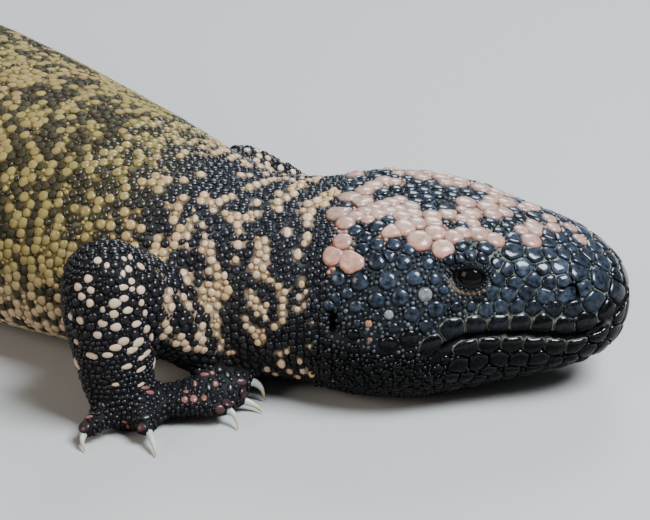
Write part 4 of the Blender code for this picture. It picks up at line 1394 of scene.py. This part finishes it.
def pictureSpots():  # scales of the near foreleg and the neck, where the picture shows them
    found = {k: [] for k in beadKeys}
    rows = [(table, kind, row) for table, kind, name in (
        (armSpots, 1, "at"), (armSpots, 3, "red"), (armSpots, 4, "tips"),
        (neckSpots, 5, "at"), (napeSpots, 5, "at"),
    ) for row in table[name]]
    for table, kind, (x, y, width, height) in rows:
        place, out, size = seenAt(table, x, y)
        if place is None:
            continue
        s, left = bodyCoordinates(place[None])
        onNeck = kind == 5
        if onNeck and (s[0] < head["end"] + 0.8 or regionOf(place[None])[0]):
            continue
        along = rightward - out * (rightward @ out)
        along /= np.linalg.norm(along)
        across = np.cross(out, along)
        seen = math.hypot(across @ rightward, across @ upward)
        a = width / table["zoom"] * size / 2 / max(along @ rightward, 0.5)
        b = height / table["zoom"] * size / 2 / max(seen, 0.5)
        a, b = min(max(a, 0.45), 1.6) * 0.94, min(max(b, 0.45), 1.5) * 0.94
        if onNeck:
            root = rootPlace(s[0], bodyAngle(s, left, place[None, 2])[0])
            tall, region, station = 0.62 * min(a, b), 0, s[0]
        else:
            root = rootPlace(0, 1.0 + y / 300, 1, 0.3 + x / 4000)
            tall, region, station = 0.26 * min(a, b) + 0.14, 1, 88.0
        for key, value in zip(beadKeys, (place, out, along, (a, b, tall), root, region, station, kind + 10)):
            found[key].append(np.array([value]))
    return {k: np.concatenate(v) for k, v in found.items()}


def clearOfClaws(points):
    clear = np.ones(len(points), bool)
    for leg in legs.values():
        for end, tip in leg["toes"]:
            share, gap = segmentShare(points, legPlace(leg, end), legPlace(leg, tip))
            clear &= (gap > 1.5) | (share < 0.01) & (gap > 1.0)
    return clear


neighbours = [(a, b, c) for a in (0, -1, 1) for b in (0, -1, 1) for c in (0, -1, 1)]


def nearCells(cells, cell):  # what lies in a cell and in those that touch it
    for a, b, c in neighbours:
        yield from cells.get((cell[0] + a, cell[1] + b, cell[2] + c), ())


def gatherBeads():
    rng = np.random.default_rng(beadSettings["seed"] + 1)
    parts = [pictureSpots()] + [legBeads(leg, n, rng) for n, leg in enumerate(legs.values(), 1)]
    parts.append(bodyBeads())
    joined = {k: np.concatenate([p[k] for p in parts]) for k in beadKeys}
    clear = clearOfClaws(joined["place"]) | (joined["kind"] % 10 == 4)
    joined = {k: v[clear] for k, v in joined.items()}
    rank = np.select([joined["kind"] >= 10, joined["kind"] == 4, joined["kind"] == 3, joined["kind"] == 1,
                      joined["kind"] == 0], [0, 1, 2, 3, 4], 5)
    order, cells, size = [], {}, 2.8
    close, unequal = beadSettings["crowd"]
    reach = (joined["half"][:, 0] + joined["half"][:, 1]) / 2
    for i in np.argsort(rank, kind="stable"):  # a bead that crowds an earlier one is left out
        p = joined["place"][i]
        cell = tuple((p // size).astype(int))
        crowded = False
        for j in nearCells(cells, cell):
            small, large = sorted((reach[i], reach[j]))
            need = (small + large) * (close + unequal * (1 - small / large))
            need *= beadSettings["seenCrowd"] if joined["kind"][i] == joined["kind"][j] == 15 else 1
            if np.sum((joined["place"][j] - p) ** 2) < need * need:
                crowded = True
                break
        if not crowded:
            cells.setdefault(cell, []).append(i)
            order.append(i)
    order = np.array(order)
    return {k: v[order] for k, v in joined.items()}


def fillBare(beads):  # small beads wherever the skin still shows
    rng = np.random.default_rng(beadSettings["seed"] + 2)
    mesh = skin.data
    centres = np.array([(*face.center, *face.normal) for face in mesh.polygons])
    spots, outs = toLocal(centres[:, :3]), centres[:, 3:]
    jitter = rng.uniform(-0.55, 0.55, (3, *spots.shape))
    jitter -= outs * (jitter * outs).sum(axis=2, keepdims=True)
    spots = np.concatenate([spots, *(spots + jitter)])
    outs = np.tile(outs, (4, 1))
    s, left = bodyCoordinates(spots)
    region = regionOf(spots)
    wanted = ((region > 0) | (s > head["end"] + 0.5)) & (spots[:, 2] > 0.2) & clearOfClaws(spots)
    tree = treeOf(beads["place"])
    across = np.cross(beads["out"], beads["along"])
    cells, found = {}, {k: [] for k in beadKeys}
    for i in rng.permutation(np.flatnonzero(wanted)):
        p = spots[i]
        free = 9.0
        least, most = beadSettings["fillLeg" if region[i] else "fillBody"]
        for _, j, gap in tree.find_range(Vector(p), 2.8):
            d = p - beads["place"][j]
            a, b, _ = beads["half"][j]
            x, y = d @ beads["along"][j] / a, d @ across[j] / b
            free = min(free, gap - gap / max(math.hypot(x, y), 1e-6))
            if free < least:
                break
        if free < least:
            continue
        cell = tuple((p // 1.5).astype(int))
        for q, size in nearCells(cells, cell):
            free = min(free, np.linalg.norm(q - p) - size * 0.95)
        if free < least:
            continue
        size = min(free * 1.15, most)
        cells.setdefault(cell, []).append((p, size))
        angle = bodyAngle(s[i:i + 1], left[i:i + 1], p[2:3])[0]
        onLeg = (0, p[2] / 6, region[i], (p[0] % 40) / 40)
        root = rootPlace(*onLeg) if region[i] else rootPlace(s[i], angle)
        along = turnedFrame(outs[i:i + 1], np.array([[0.8, 0.6, 0.1]]))[0][0]
        values = (p, outs[i], along, (size, size, size * 0.6), root, region[i], s[i], 2 if region[i] else 5)
        for key, value in zip(beadKeys, values):
            found[key].append(value)
    print("filled", len(found["kind"]))
    return {k: np.concatenate([beads[k], np.array(found[k])]) for k in beadKeys}


beads = fillBare(gatherBeads())
print("beads", len(beads["place"]))


def domeMesh(name, sides, rings, squash):  # one bead, one unit in radius and height
    verts, lifts = [], []
    for radius, height in rings:
        for k in range(sides):
            turn = 2 * math.pi * k / sides
            wobble = 1 + squash * math.sin(3 * turn + sides)
            verts.append((radius * wobble * math.cos(turn), radius * wobble * math.sin(turn), height))
            lifts.append(max(height, 0))
    verts.append((0, 0, 1))
    lifts.append(1)
    faces = ringFaces(0, len(rings), sides)
    base = (len(rings) - 1) * sides
    faces += [(base + k, base + (k + 1) % sides, len(verts) - 1) for k in range(sides)]
    faces.append(tuple(reversed(range(sides))))
    obj = meshObject(name, verts, faces)
    # lift: each point's share of the bead's height; the finish darkens low points as a painted shade
    setAttribute(obj.data, "lift", "FLOAT", np.array(lifts))
    setAttribute(obj.data, "local", "FLOAT_VECTOR", np.array([(v[0], v[1], 0) for v in verts]))
    obj.data.shade_smooth()
    bpy.context.scene.collection.objects.unlink(obj)
    return obj


def beadCollection(name, sides, rings):
    group = bpy.data.collections.new(name)
    for k, squash in enumerate((0.0, 0.05, -0.06)):
        group.objects.link(domeMesh(f"{name}{k}", sides, rings, squash))
    return group


def setInputs(tree, node, values):  # an input is given a value, or linked to a socket
    for key, value in values.items():
        if isinstance(value, bpy.types.NodeSocket):
            tree.links.new(value, node.inputs[key])
        else:
            node.inputs[key].default_value = value


def addNode(tree, kind, inputs=None, **settings):
    node = tree.nodes.new(kind)
    for key, value in settings.items():
        setattr(node, key, value)
    setInputs(tree, node, inputs or {})
    return node


def beadTree():  # sets a bead on every point, turned and sized by the point's own values
    tree = bpy.data.node_groups.new("beadOnPoints", "GeometryNodeTree")
    face = tree.interface
    for name, kind in (("Points", "Geometry"), ("Bead Shapes", "Collection"), ("Finish", "Material"),
                       ("Patch", "Float")):
        face.new_socket(name, in_out="INPUT", socket_type="NodeSocket" + kind)
    face.new_socket("Beads", in_out="OUTPUT", socket_type="NodeSocketGeometry")

    def named(name, kind):
        node = addNode(tree, "GeometryNodeInputNamedAttribute", {"Name": name}, data_type=kind)
        return node.outputs["Attribute"]

    given = tree.nodes.new("NodeGroupInput").outputs
    shapes = addNode(tree, "GeometryNodeCollectionInfo", {
        "Collection": given["Bead Shapes"], "Separate Children": True, "Reset Children": True})
    place = addNode(tree, "GeometryNodeInstanceOnPoints", {
        "Points": given["Points"], "Instance": shapes.outputs["Instances"], "Pick Instance": True,
        "Instance Index": named("shape", "INT"), "Rotation": named("facing", "QUATERNION"),
        "Scale": named("size", "FLOAT_VECTOR")})
    real = addNode(tree, "GeometryNodeRealizeInstances", {"Geometry": place.outputs["Instances"]})
    spread = addNode(tree, "ShaderNodeVectorMath", {
        0: named("local", "FLOAT_VECTOR"), "Scale": given["Patch"]}, operation="SCALE")
    add = addNode(tree, "ShaderNodeVectorMath", {
        0: named("root", "FLOAT_VECTOR"), 1: spread.outputs["Vector"]}, operation="ADD")
    store = addNode(tree, "GeometryNodeStoreNamedAttribute", {
        "Geometry": real.outputs["Geometry"], "Name": "OFBake", "Value": add.outputs["Vector"],
    }, data_type="FLOAT2", domain="CORNER")
    finish = addNode(tree, "GeometryNodeSetMaterial", {
        "Geometry": store.outputs["Geometry"], "Material": given["Finish"]})
    addNode(tree, "NodeGroupOutput", {"Beads": finish.outputs["Geometry"]})
    return tree


beadOnPoints = beadTree()


def plantBeads(name, chosen, shapes, material):
    across = np.cross(chosen["out"], chosen["along"])
    facing = [tuple(Matrix((a, b, c)).transposed().to_quaternion())
              for a, b, c in zip(chosen["along"], across, chosen["out"])]
    points = meshObject(name, toWorld(chosen["place"]), [])
    mesh = points.data
    setAttribute(mesh, "facing", "QUATERNION", np.array(facing))
    setAttribute(mesh, "size", "FLOAT_VECTOR", chosen["size"] * 0.001)
    setAttribute(mesh, "root", "FLOAT_VECTOR", np.pad(chosen["root"], ((0, 0), (0, 1))))
    setAttribute(mesh, "shape", "INT", chosen["shape"])
    setAttribute(mesh, "tone", "FLOAT_COLOR", withAlpha(chosen["tone"]))
    modifier = points.modifiers.new("beads", "NODES")
    modifier.node_group = beadOnPoints
    inputs = {i.name: i.identifier for i in beadOnPoints.interface.items_tree if i.in_out == "INPUT"}
    modifier[inputs["Bead Shapes"]] = shapes
    modifier[inputs["Finish"]] = material
    modifier[inputs["Patch"]] = patch
    points.update_tag()
    mesh = appliedMesh(points)
    keepAboveFloor(mesh)
    for extra in ("facing", "size", "root", "shape", "local"):
        if extra in mesh.attributes:
            mesh.attributes.remove(mesh.attributes[extra])
    return points


# Finishes
def newMaterial(name):
    material = bpy.data.materials.new(name)
    material.use_nodes = True
    return material, material.node_tree, material.node_tree.nodes["Principled BSDF"]


def hornGrain():  # fine pits and dusting shared by every scaly finish
    group = bpy.data.node_groups.new("hornGrain", "ShaderNodeTree")
    face = group.interface
    for name, kind, value in (
        ("Colour", "Color", (0.5, 0.5, 0.5, 1)), ("Pit Size", "Float", 2500), ("Mottle", "Float", 0.2),
        ("Wear", "Float", 0.2), ("Dust", "Float", 0.1), ("Roughness", "Float", 0.35),
    ):
        face.new_socket(name, in_out="INPUT", socket_type="NodeSocket" + kind).default_value = value
    for name, kind in (("Colour", "Color"), ("Roughness", "Float"), ("Height", "Float")):
        face.new_socket(name, in_out="OUTPUT", socket_type="NodeSocket" + kind)
    given = group.nodes.new("NodeGroupInput").outputs
    place = group.nodes.new("ShaderNodeTexCoord").outputs["Object"]
    pits, mottle = (
        addNode(group, "ShaderNodeTexNoise", {"Vector": place, "Scale": size, "Detail": 3}).outputs["Fac"]
        for size in (given["Pit Size"], 900))
    centre = addNode(group, "ShaderNodeMath", {0: mottle, 1: 0.5}, operation="SUBTRACT").outputs[0]
    scaled = addNode(group, "ShaderNodeMath", {0: centre, 1: given["Mottle"], 2: 1.0},
                     operation="MULTIPLY_ADD").outputs[0]
    least = addNode(group, "ShaderNodeMath", {0: scaled, 1: 0.12}, operation="MAXIMUM").outputs[0]
    tint = addNode(group, "ShaderNodeVectorMath", {0: given["Colour"], "Scale": least}, operation="SCALE")
    rough = addNode(group, "ShaderNodeMath", {0: pits, 1: given["Wear"], 2: given["Roughness"]},
                    operation="MULTIPLY_ADD")
    specks = addNode(group, "ShaderNodeMapRange", {"Value": pits, "From Min": 0.55, "From Max": 0.72})
    amount = addNode(group, "ShaderNodeMath", {0: specks.outputs["Result"], 1: given["Dust"]},
                     operation="MULTIPLY")
    dusted = addNode(group, "ShaderNodeMix", data_type="RGBA", inputs={
        0: amount.outputs[0], 6: tint.outputs["Vector"], 7: (0.30, 0.31, 0.31, 1)})
    addNode(group, "NodeGroupOutput", {
        "Colour": dusted.outputs[2], "Roughness": rough.outputs[0], "Height": pits})
    return group


grainGroup = hornGrain()
# foot is the share of its colour that a scale keeps at its foot, a painted shade in the grooves
finishes = {
    "scaleHorn": dict(pits=2600, mottle=1.3, wear=0.3, roughness=0.22, bump=0.4, foot=0.3, dust=0.04,
                      gloss=0.08, shine=0.55, coatRoughness=0.22),
    "dustyHorn": dict(pits=2200, mottle=1.3, wear=0.3, roughness=0.42, bump=0.6, foot=0.45, dust=0.06,
                      gloss=0.12, shine=0.08, coatRoughness=0.4),
    "wetPlate": dict(pits=2300, mottle=5.0, wear=0.46, roughness=0.08, bump=0.7, foot=0.2, dust=0.025,
                     gloss=0.05, shine=0.8, coatRoughness=0.14),
    "bareSkin": dict(pits=1500, mottle=0.9, wear=0.3, roughness=0.45, bump=0.9, foot=1.0, dust=0.02,
                     gloss=0.05, shine=0.03, coatRoughness=0.4),
}


def scalyMaterial(name, footShaded=True):
    settings = finishes[name]
    material, tree, shader = newMaterial(name)
    tone = addNode(tree, "ShaderNodeAttribute", attribute_name="tone")
    calm = addNode(tree, "ShaderNodeMapRange", {  # pale scales are less mottled than dark ones
        "Value": tone.outputs["Fac"], "From Min": 0.03, "From Max": 0.25,
        "To Min": settings["mottle"], "To Max": settings["mottle"] * 0.25})
    colour = tone.outputs["Color"]
    if footShaded:  # painted shade: scales are darker at the foot, in the grooves between them
        lift = addNode(tree, "ShaderNodeAttribute", attribute_name="lift").outputs["Fac"]
        ramp = addNode(tree, "ShaderNodeMapRange", {
            "Value": lift, "From Min": 0.0, "From Max": 0.7, "To Min": settings["foot"], "To Max": 1.0})
        colour = addNode(tree, "ShaderNodeVectorMath", {
            0: colour, "Scale": ramp.outputs["Result"]}, operation="SCALE").outputs["Vector"]
    grain = tree.nodes.new("ShaderNodeGroup")
    grain.node_tree = grainGroup
    setInputs(tree, grain, {
        "Colour": colour, "Pit Size": settings["pits"], "Mottle": calm.outputs["Result"],
        "Wear": settings["wear"], "Dust": settings["dust"], "Roughness": settings["roughness"]})
    bump = addNode(tree, "ShaderNodeBump", {
        "Strength": settings["bump"], "Distance": 0.0002, "Height": grain.outputs["Height"]})
    facing = tree.nodes.new("ShaderNodeTexCoord").outputs["Normal"]
    parts = addNode(tree, "ShaderNodeSeparateXYZ", {"Vector": facing})
    polish = addNode(tree, "ShaderNodeMapRange", {  # undersides are duller than what faces up
        "Value": parts.outputs["Z"], "From Min": -0.1, "From Max": 0.55,
        "To Min": 0.0, "To Max": settings["shine"]})
    setInputs(tree, shader, {
        "Base Color": grain.outputs["Colour"], "Roughness": grain.outputs["Roughness"],
        "Normal": bump.outputs["Normal"], "Coat Weight": polish.outputs["Result"],
        "Coat Roughness": settings["coatRoughness"], "Specular IOR Level": settings["gloss"]})
    return material


scaleHorn, dustyHorn = scalyMaterial("scaleHorn"), scalyMaterial("dustyHorn")
wetPlate, bareSkin = scalyMaterial("wetPlate"), scalyMaterial("bareSkin", False)
plates.data.materials.append(wetPlate)
skin.data.materials.append(bareSkin)
skin.data.shade_smooth()


beadLooks = {
    "seed": 21,
    "sizeSpread": 0.05,
    "toneSpread": 0.08,
    "grown": ([60, 100, 140], [1.12, 1.16, 1.1]),  # pale beads are larger, by station
    "toeRedShare": 0.42,
    "skinShade": (0.55, 0.8),  # the skin's share of a pale bead's colour, and of a dark one's
}


def beadLook(chosen):
    rng = np.random.default_rng(beadLooks["seed"])
    count = len(chosen["place"])
    chosen["size"] = chosen["half"] * rng.normal(1, beadLooks["sizeSpread"], (count, 1))
    flat = (chosen["out"][:, 2] < -0.55) & (chosen["region"] == 0)  # belly scales lie flat
    chosen["size"][flat, 2] *= 0.4
    chosen["shape"] = rng.integers(0, 3, count)
    tone = toneOf(chosen["place"], chosen["region"])
    kind = chosen["kind"]
    pale = (chosen["region"] == 0) & (tone.sum(axis=1) > 0.3) & (kind != 15)
    grown = np.interp(chosen["station"], *beadLooks["grown"])
    chosen["size"][pale] *= grown[pale, None] * (1, 1, 1.12)
    reddened = rng.random(count) < beadLooks["toeRedShare"]
    tone[(kind == 1) | (kind == 11)] = tones["spot"]
    seen = kind == 15
    tone[seen] = mix(tones["neckCream"], tones["spot"], rng.uniform(0, 0.8, (count, 1)))[seen]
    tone[(kind == 2) | (kind == 3)] = tones["legBlack"]
    tone[(kind == 3) & reddened & (chosen["region"] != 1) | (kind == 13)] = tones["toeRed"]
    tone[kind == 4] = mix(tones["legBlack"], tones["toeRed"], 0.12)
    tone[kind == 14] = mix(tones["legBlack"], tones["toeRed"], 0.22)
    chosen["tone"] = tone * rng.normal(1, beadLooks["toneSpread"], (count, 1)).clip(0.8, 1.2)
    return chosen


def matchSkin(beads):  # the skin takes the colour of the bead that stands on it
    points = toLocal(vertexValues(skin.data, "co"))
    data = skin.data.attributes["tone"].data
    colours = np.empty(len(points) * 4)
    data.foreach_get("color", colours)
    colours = colours.reshape(-1, 4)
    s, _ = bodyCoordinates(points)
    onBody = regionOf(points) == 0
    tree = treeOf(beads["place"])
    under = beads["tone"][[tree.find(Vector(p))[1] for p in points]]
    pale = under.sum(axis=1) > 0.3
    light, dark = beadLooks["skinShade"]
    under = np.where(pale[:, None], under * light, under * dark)
    nape = onBody & ~pale & (s < 100)
    specks = np.clip(2 * roughly(points, (2.3, 2.3, 2.3), 8.8), 0, 1)[:, None]
    specks = specks * np.clip((points[:, 2:] - 14) / 8, 0, 1)
    under[nape] += (np.array(tones["fleck"]) * 0.55 * specks)[nape]
    covered = onBody & (s > head["end"] + 1)
    colours[covered, :3] = under[covered]
    data.foreach_set("color", colours.ravel())


fineBeads = beadCollection("fineBead", 11, [(1.0, -0.45), (0.97, 0.22), (0.78, 0.66), (0.42, 0.93)])
plainBeads = beadCollection("plainBead", 9, [(1.0, -0.45), (0.95, 0.34), (0.66, 0.84)])
tinyBeads = beadCollection("tinyBead", 7, [(1.0, -0.5), (0.8, 0.6)])
beads = beadLook(beads)
matchSkin(beads)
near = beads["station"] < beadSettings["fineReach"]
small = (beads["kind"] == 2) | (beads["kind"] == 5)
groups = (
    ("near", near & ~small, fineBeads, 1650, scaleHorn),
    ("far", ~near & ~small, plainBeads, 3300, dustyHorn),
    ("small", small, tinyBeads, 7000, scaleHorn),
)
scalePieces = []
for label, mask, shapes, most, finish in groups:
    index = np.flatnonzero(mask)
    index = index[np.lexsort((beads["station"][index], beads["region"][index]))]
    for part in range(math.ceil(len(index) / most)):
        some = index[part * most:(part + 1) * most]
        chosen = {k: v[some] for k, v in beads.items()}
        scalePieces.append(plantBeads(f"beads_{label}_{part + 1}", chosen, shapes, finish))
        print(scalePieces[-1].name, len(some))


# Granules between the head's plates and round the eyes
granuleSettings = {
    "pitch": 0.88, "tries": 60000, "seed": 5, "reach": 61.0, "half": (0.45, 0.45, 0.62),
    "lidReach": 2.1, "lidSize": (0.8, 0.8, 0.5), "lidRows": (0.95, 1.75, 2.6, 3.5),
}


def besidePlates(place, tree):  # true where no plate covers the place
    turns = plateSettings["directions"]
    for _, j, gap in tree.find_range(Vector(place), 5.0):
        along, across, reach = plateShapes[j]
        d = place - platePlaces[j]
        turn = math.atan2(d @ across, d @ along) % (2 * math.pi)
        edge = np.interp(turn / (2 * math.pi) * turns, range(turns + 1), list(reach) + [reach[0]])
        if gap < edge + 0.15:
            return False
    return True


def lidRows():  # rows of small scales round each eye
    found = []
    a, b = head["opening"]
    for side in (-1, 1):
        centre, ahead, up, out = eyeFrame(side)
        for row, outside in enumerate(granuleSettings["lidRows"]):
            count = int(2 * math.pi * (outside + (a + b) / 2) / (0.86 + 0.06 * row))
            turns = 2 * np.pi * (np.arange(count) + 0.5 * (row % 2)) / count
            found.append(centre + out * 3 + np.cos(turns)[:, None] * ahead * (a + outside)
                         + np.sin(turns)[:, None] * up * (b + outside))
    return ontoSkin(np.concatenate(found))[0]


def makeGranules():
    rng = np.random.default_rng(granuleSettings["seed"])
    tries, size = granuleSettings["tries"], granuleSettings["pitch"]
    s = rng.uniform(2, granuleSettings["reach"], tries)
    angle = rng.uniform(0, 2 * math.pi, tries)
    rows = lidRows()
    rowS, rowLeft = bodyCoordinates(rows)
    s[:len(rows)], angle[:len(rows)] = rowS, bodyAngle(rowS, rowLeft, rows[:, 2])
    raw = skinPlace(s, angle, -form["under"])
    raw[:len(rows)] = rows
    line = np.abs(raw[:, 2] - curveThrough(head["mouth"], s))
    beyond = eyeRing(raw)[0] > 3.2
    beyond[:len(rows)] = True
    clear = beyond & ((s > head["mouthEnd"]) | (line > 3.4))
    clear &= (distanceTo(raw, "nostril") > 1.3) & (raw[:, 2] > 0.3)
    plateTree, bead = treeOf(platePlaces), treeOf(beads["place"])
    ok, cells = [], {}
    for i in np.flatnonzero(clear):
        if not besidePlates(raw[i], plateTree):
            continue
        _, j, gap = bead.find(Vector(raw[i]))
        if gap < beads["half"][j, 0] + 0.2:
            continue
        cell = tuple((raw[i] // size).astype(int))
        crowded = i >= len(rows) and any(
            np.sum((raw[j] - raw[i]) ** 2) < size * size * 0.8 for j in nearCells(cells, cell))
        if not crowded:
            cells.setdefault(cell, []).append(i)
            ok.append(i)
    ok = np.array(ok)
    places, outs = ontoSkin(raw[ok])
    count = len(ok)
    along, _ = turnedFrame(outs, np.tile(headPlace(1, 0, 0) - headPlace(0, 0, 0), (count, 1)))
    roots = np.array([rootPlace(a, b) for a, b in zip(s[ok], angle[ok])])
    chosen = dict(place=places, out=outs, along=along, root=roots)
    chosen["size"] = np.array(granuleSettings["half"]) * rng.normal(1, 0.13, (count, 1)).clip(0.7, 1.3)
    outside, found = eyeRing(places)
    lids = outside < granuleSettings["lidReach"]
    chosen["size"][lids] *= granuleSettings["lidSize"]
    chosen["shape"] = rng.integers(0, 3, count)
    tone = toneOf(places, np.zeros(count, int))
    dark = tone.sum(axis=1) < 0.2
    # painted shade: granules are darker and carry fewer pale flecks low on the head
    low = np.clip((18 - places[:, 2]) / 5, 0, 0.93)[:, None]
    tone[dark] = (np.array(tones["slate"]) * rng.uniform(0.4, 2.4, (count, 1)) * (1 - low))[dark]
    tone[dark & (rng.random(count) < 0.13 * (1 - low[:, 0]))] = tones["fleck"]
    tone[lids] = np.array(tones["slate"]) * 0.35
    tone[lids & (outside > 1.3) & (found[:, 1] < -0.5)] = tones["lidBrown"]
    chosen["tone"] = tone
    return plantBeads("granules", chosen, tinyBeads, scaleHorn), count


granules, granuleCount = makeGranules()
print("granules", granuleCount)

# Eyes and claws
claws = {
    "root": 1.0, "tip": 0.1, "sides": 14, "steps": 12, "narrow": 0.8,
    "colours": [(0.0, (0.36, 0.42, 0.45)), (0.5, (0.48, 0.50, 0.40)), (0.95, (0.42, 0.29, 0.09))],
    "grain": {"Pit Size": 1400, "Mottle": 0.5, "Wear": 0.2, "Roughness": 0.18},
}


def eyePiece(side, word):
    centre, ahead, up, out = eyeFrame(side)
    rows, count = 24, 40
    rings = []
    radius = head["eyeRadius"]
    for i in range(1, rows):
        polar = math.pi * i / rows
        turns = 2 * np.pi * np.arange(count) / count
        ring = centre + radius * (math.cos(polar) * out + math.sin(polar)
                                  * (np.cos(turns)[:, None] * ahead + np.sin(turns)[:, None] * up))
        rings.append(ring)
    verts, faces = loftMesh(rings)
    verts[-2], verts[-1] = centre + out * radius, centre - out * radius
    obj = meshObject(f"eyeball_{word}", toWorld(verts), faces)
    tidyFaces(obj)
    obj.data.shade_smooth()
    return obj


def tidyFaces(obj):
    bm = bmesh.new()
    bm.from_mesh(obj.data)
    bmesh.ops.recalc_face_normals(bm, faces=bm.faces)
    bm.to_mesh(obj.data)
    bm.free()


def clawPiece(name, end, tip, before):
    ahead = end - before
    ahead /= np.linalg.norm(ahead)
    start = end - ahead * 0.5
    bend = end + ahead * np.linalg.norm(tip - end) * 0.55 + (0, 0, 0.15)
    rings = []
    shares = np.arange(claws["steps"] + 1) / claws["steps"]
    for t in shares:
        point = start * (1 - t) ** 2 + bend * 2 * t * (1 - t) + tip * t * t
        slope = 2 * (1 - t) * (bend - start) + 2 * t * (tip - bend)
        slope /= np.linalg.norm(slope)
        side = np.cross(slope, (0, 0, 1.0))
        side /= np.linalg.norm(side)
        up = np.cross(side, slope)
        radius = claws["root"] + (claws["tip"] - claws["root"]) * t**1.4
        turns = 2 * np.pi * np.arange(claws["sides"]) / claws["sides"]
        ring = np.cos(turns)[:, None] * side * claws["narrow"] + np.sin(turns)[:, None] * up
        rings.append(point + radius * ring)
    verts, faces = loftMesh(rings)
    obj = meshObject(name, toWorld(verts), faces)
    tidyFaces(obj)
    setAttribute(obj.data, "share", "FLOAT", np.concatenate([np.repeat(shares, claws["sides"]), [0, 1]]))
    obj.data.shade_smooth()
    return obj


def colourRamp(tree, value, stops):  # colours at places from 0 to 1
    ramp = addNode(tree, "ShaderNodeValToRGB", {"Fac": value})
    elements = ramp.color_ramp.elements
    while len(elements) < len(stops):
        elements.new(0.5)
    for element, (place, colour) in zip(elements, stops):
        element.position = place
        element.color = (*colour, 1)
    return ramp.outputs["Color"]


def eyeMaterial():
    material, tree, shader = newMaterial("eyeWet")
    place = tree.nodes.new("ShaderNodeTexCoord").outputs["Object"]
    iris = addNode(tree, "ShaderNodeTexNoise", {"Vector": place, "Scale": 900}).outputs["Fac"]
    colour = colourRamp(tree, iris, [(0.0, (0.003, 0.003, 0.004)), (1.0, (0.006, 0.004, 0.003))])
    setInputs(tree, shader, {"Base Color": colour, "Roughness": 0.06, "Specular IOR Level": 0.12})
    return material


def clawMaterial():
    material, tree, shader = newMaterial("clawHorn")
    share = addNode(tree, "ShaderNodeAttribute", attribute_name="share").outputs["Fac"]
    colour = colourRamp(tree, share, claws["colours"])
    grain = tree.nodes.new("ShaderNodeGroup")
    grain.node_tree = grainGroup
    setInputs(tree, grain, {"Colour": colour, **claws["grain"]})
    setInputs(tree, shader, {
        "Base Color": grain.outputs["Colour"], "Roughness": grain.outputs["Roughness"],
        "Subsurface Weight": 0.15, "Subsurface Scale": 0.001})
    return material


eyeWet, clawHorn = eyeMaterial(), clawMaterial()
for side, word in ((-1, "right"), (1, "left")):
    ball = eyePiece(side, word)
    ball.data.materials.append(eyeWet)
    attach(ball, "root")
    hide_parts(f"eye_{word}")
for name, leg in legs.items():
    palm = legPlace(leg, leg["palm"])
    for k, (end, tip) in enumerate(leg["toes"], 1):
        end, tip = legPlace(leg, end), legPlace(leg, tip)
        claw = clawPiece(f"{name}_nail_{k}", end, tip, toeLine(palm, end)[3])
        claw.data.materials.append(clawHorn)
        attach(claw, "root")
        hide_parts(f"{name}_claw_{k}")
print("eyes and claws")

flesh = [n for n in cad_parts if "claw" not in n and not n.startswith("eye")]
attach(skin, "root")
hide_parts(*flesh)
for piece in scalePieces + [granules]:
    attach(piece, "root")
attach(plates, "root")

# Floor, light and camera
stage = {
    "floor": 3.0,
    "floorColour": (0.46, 0.445, 0.42, 1),
    "floorRoughness": 0.8,
    "aim": (0.1, 0.0, 0.02),
    "lights": {  # place, size, power and colour
        "key": ((0.62, 0.05, 0.80), 0.40, 22, (0.80, 0.90, 1.0)),
        "fill": ((-0.35, -0.95, 0.6), 0.6, 7, (1.0, 0.93, 0.84)),
        "rim": ((-0.2, 0.8, 0.7), 0.4, 8, (0.86, 0.93, 1.0)),
    },
    "sky": (0.8, 0.86, 0.95, 1),
    "skyStrength": 0.13,
    "sensor": 36,
}


def makeFloor():
    size = stage["floor"]
    corners = [(-size, -size, 0), (size, -size, 0), (size, size, 0), (-size, size, 0)]
    floor = meshObject("floor", corners, [(0, 1, 2, 3)])
    material, tree, shader = newMaterial("paleFloor")
    setInputs(tree, shader, {"Base Color": stage["floorColour"], "Roughness": stage["floorRoughness"]})
    floor.data.materials.append(material)


def areaLight(name, place, size, power, colour):
    light = bpy.data.lights.new(name, "AREA")
    light.size, light.energy, light.color = size, power, colour
    obj = bpy.data.objects.new(name, light)
    obj.location = place
    obj.rotation_euler = (Vector(stage["aim"]) - Vector(place)).to_track_quat("-Z", "Y").to_euler()
    bpy.context.scene.collection.objects.link(obj)


makeFloor()
for name, settings in stage["lights"].items():
    areaLight(name, *settings)
world = bpy.data.worlds.new("softWorld")
world.use_nodes = True
sky = world.node_tree.nodes["Background"]
setInputs(world.node_tree, sky, {"Color": stage["sky"], "Strength": stage["skyStrength"]})
bpy.context.scene.world = world

lens = bpy.data.cameras.new("camera")
lens.sensor_width = stage["sensor"]
lens.lens = view["focal"] * stage["sensor"] / view["width"]
lens.clip_start, lens.clip_end = 0.01, 20
camera = bpy.data.objects.new("camera", lens)
camera.location = Vector(viewPlace)
camera.rotation_euler = Vector(look).to_track_quat("-Z", "Y").to_euler()
bpy.context.scene.collection.objects.link(camera)
bpy.context.scene.camera = camera

print("staged")
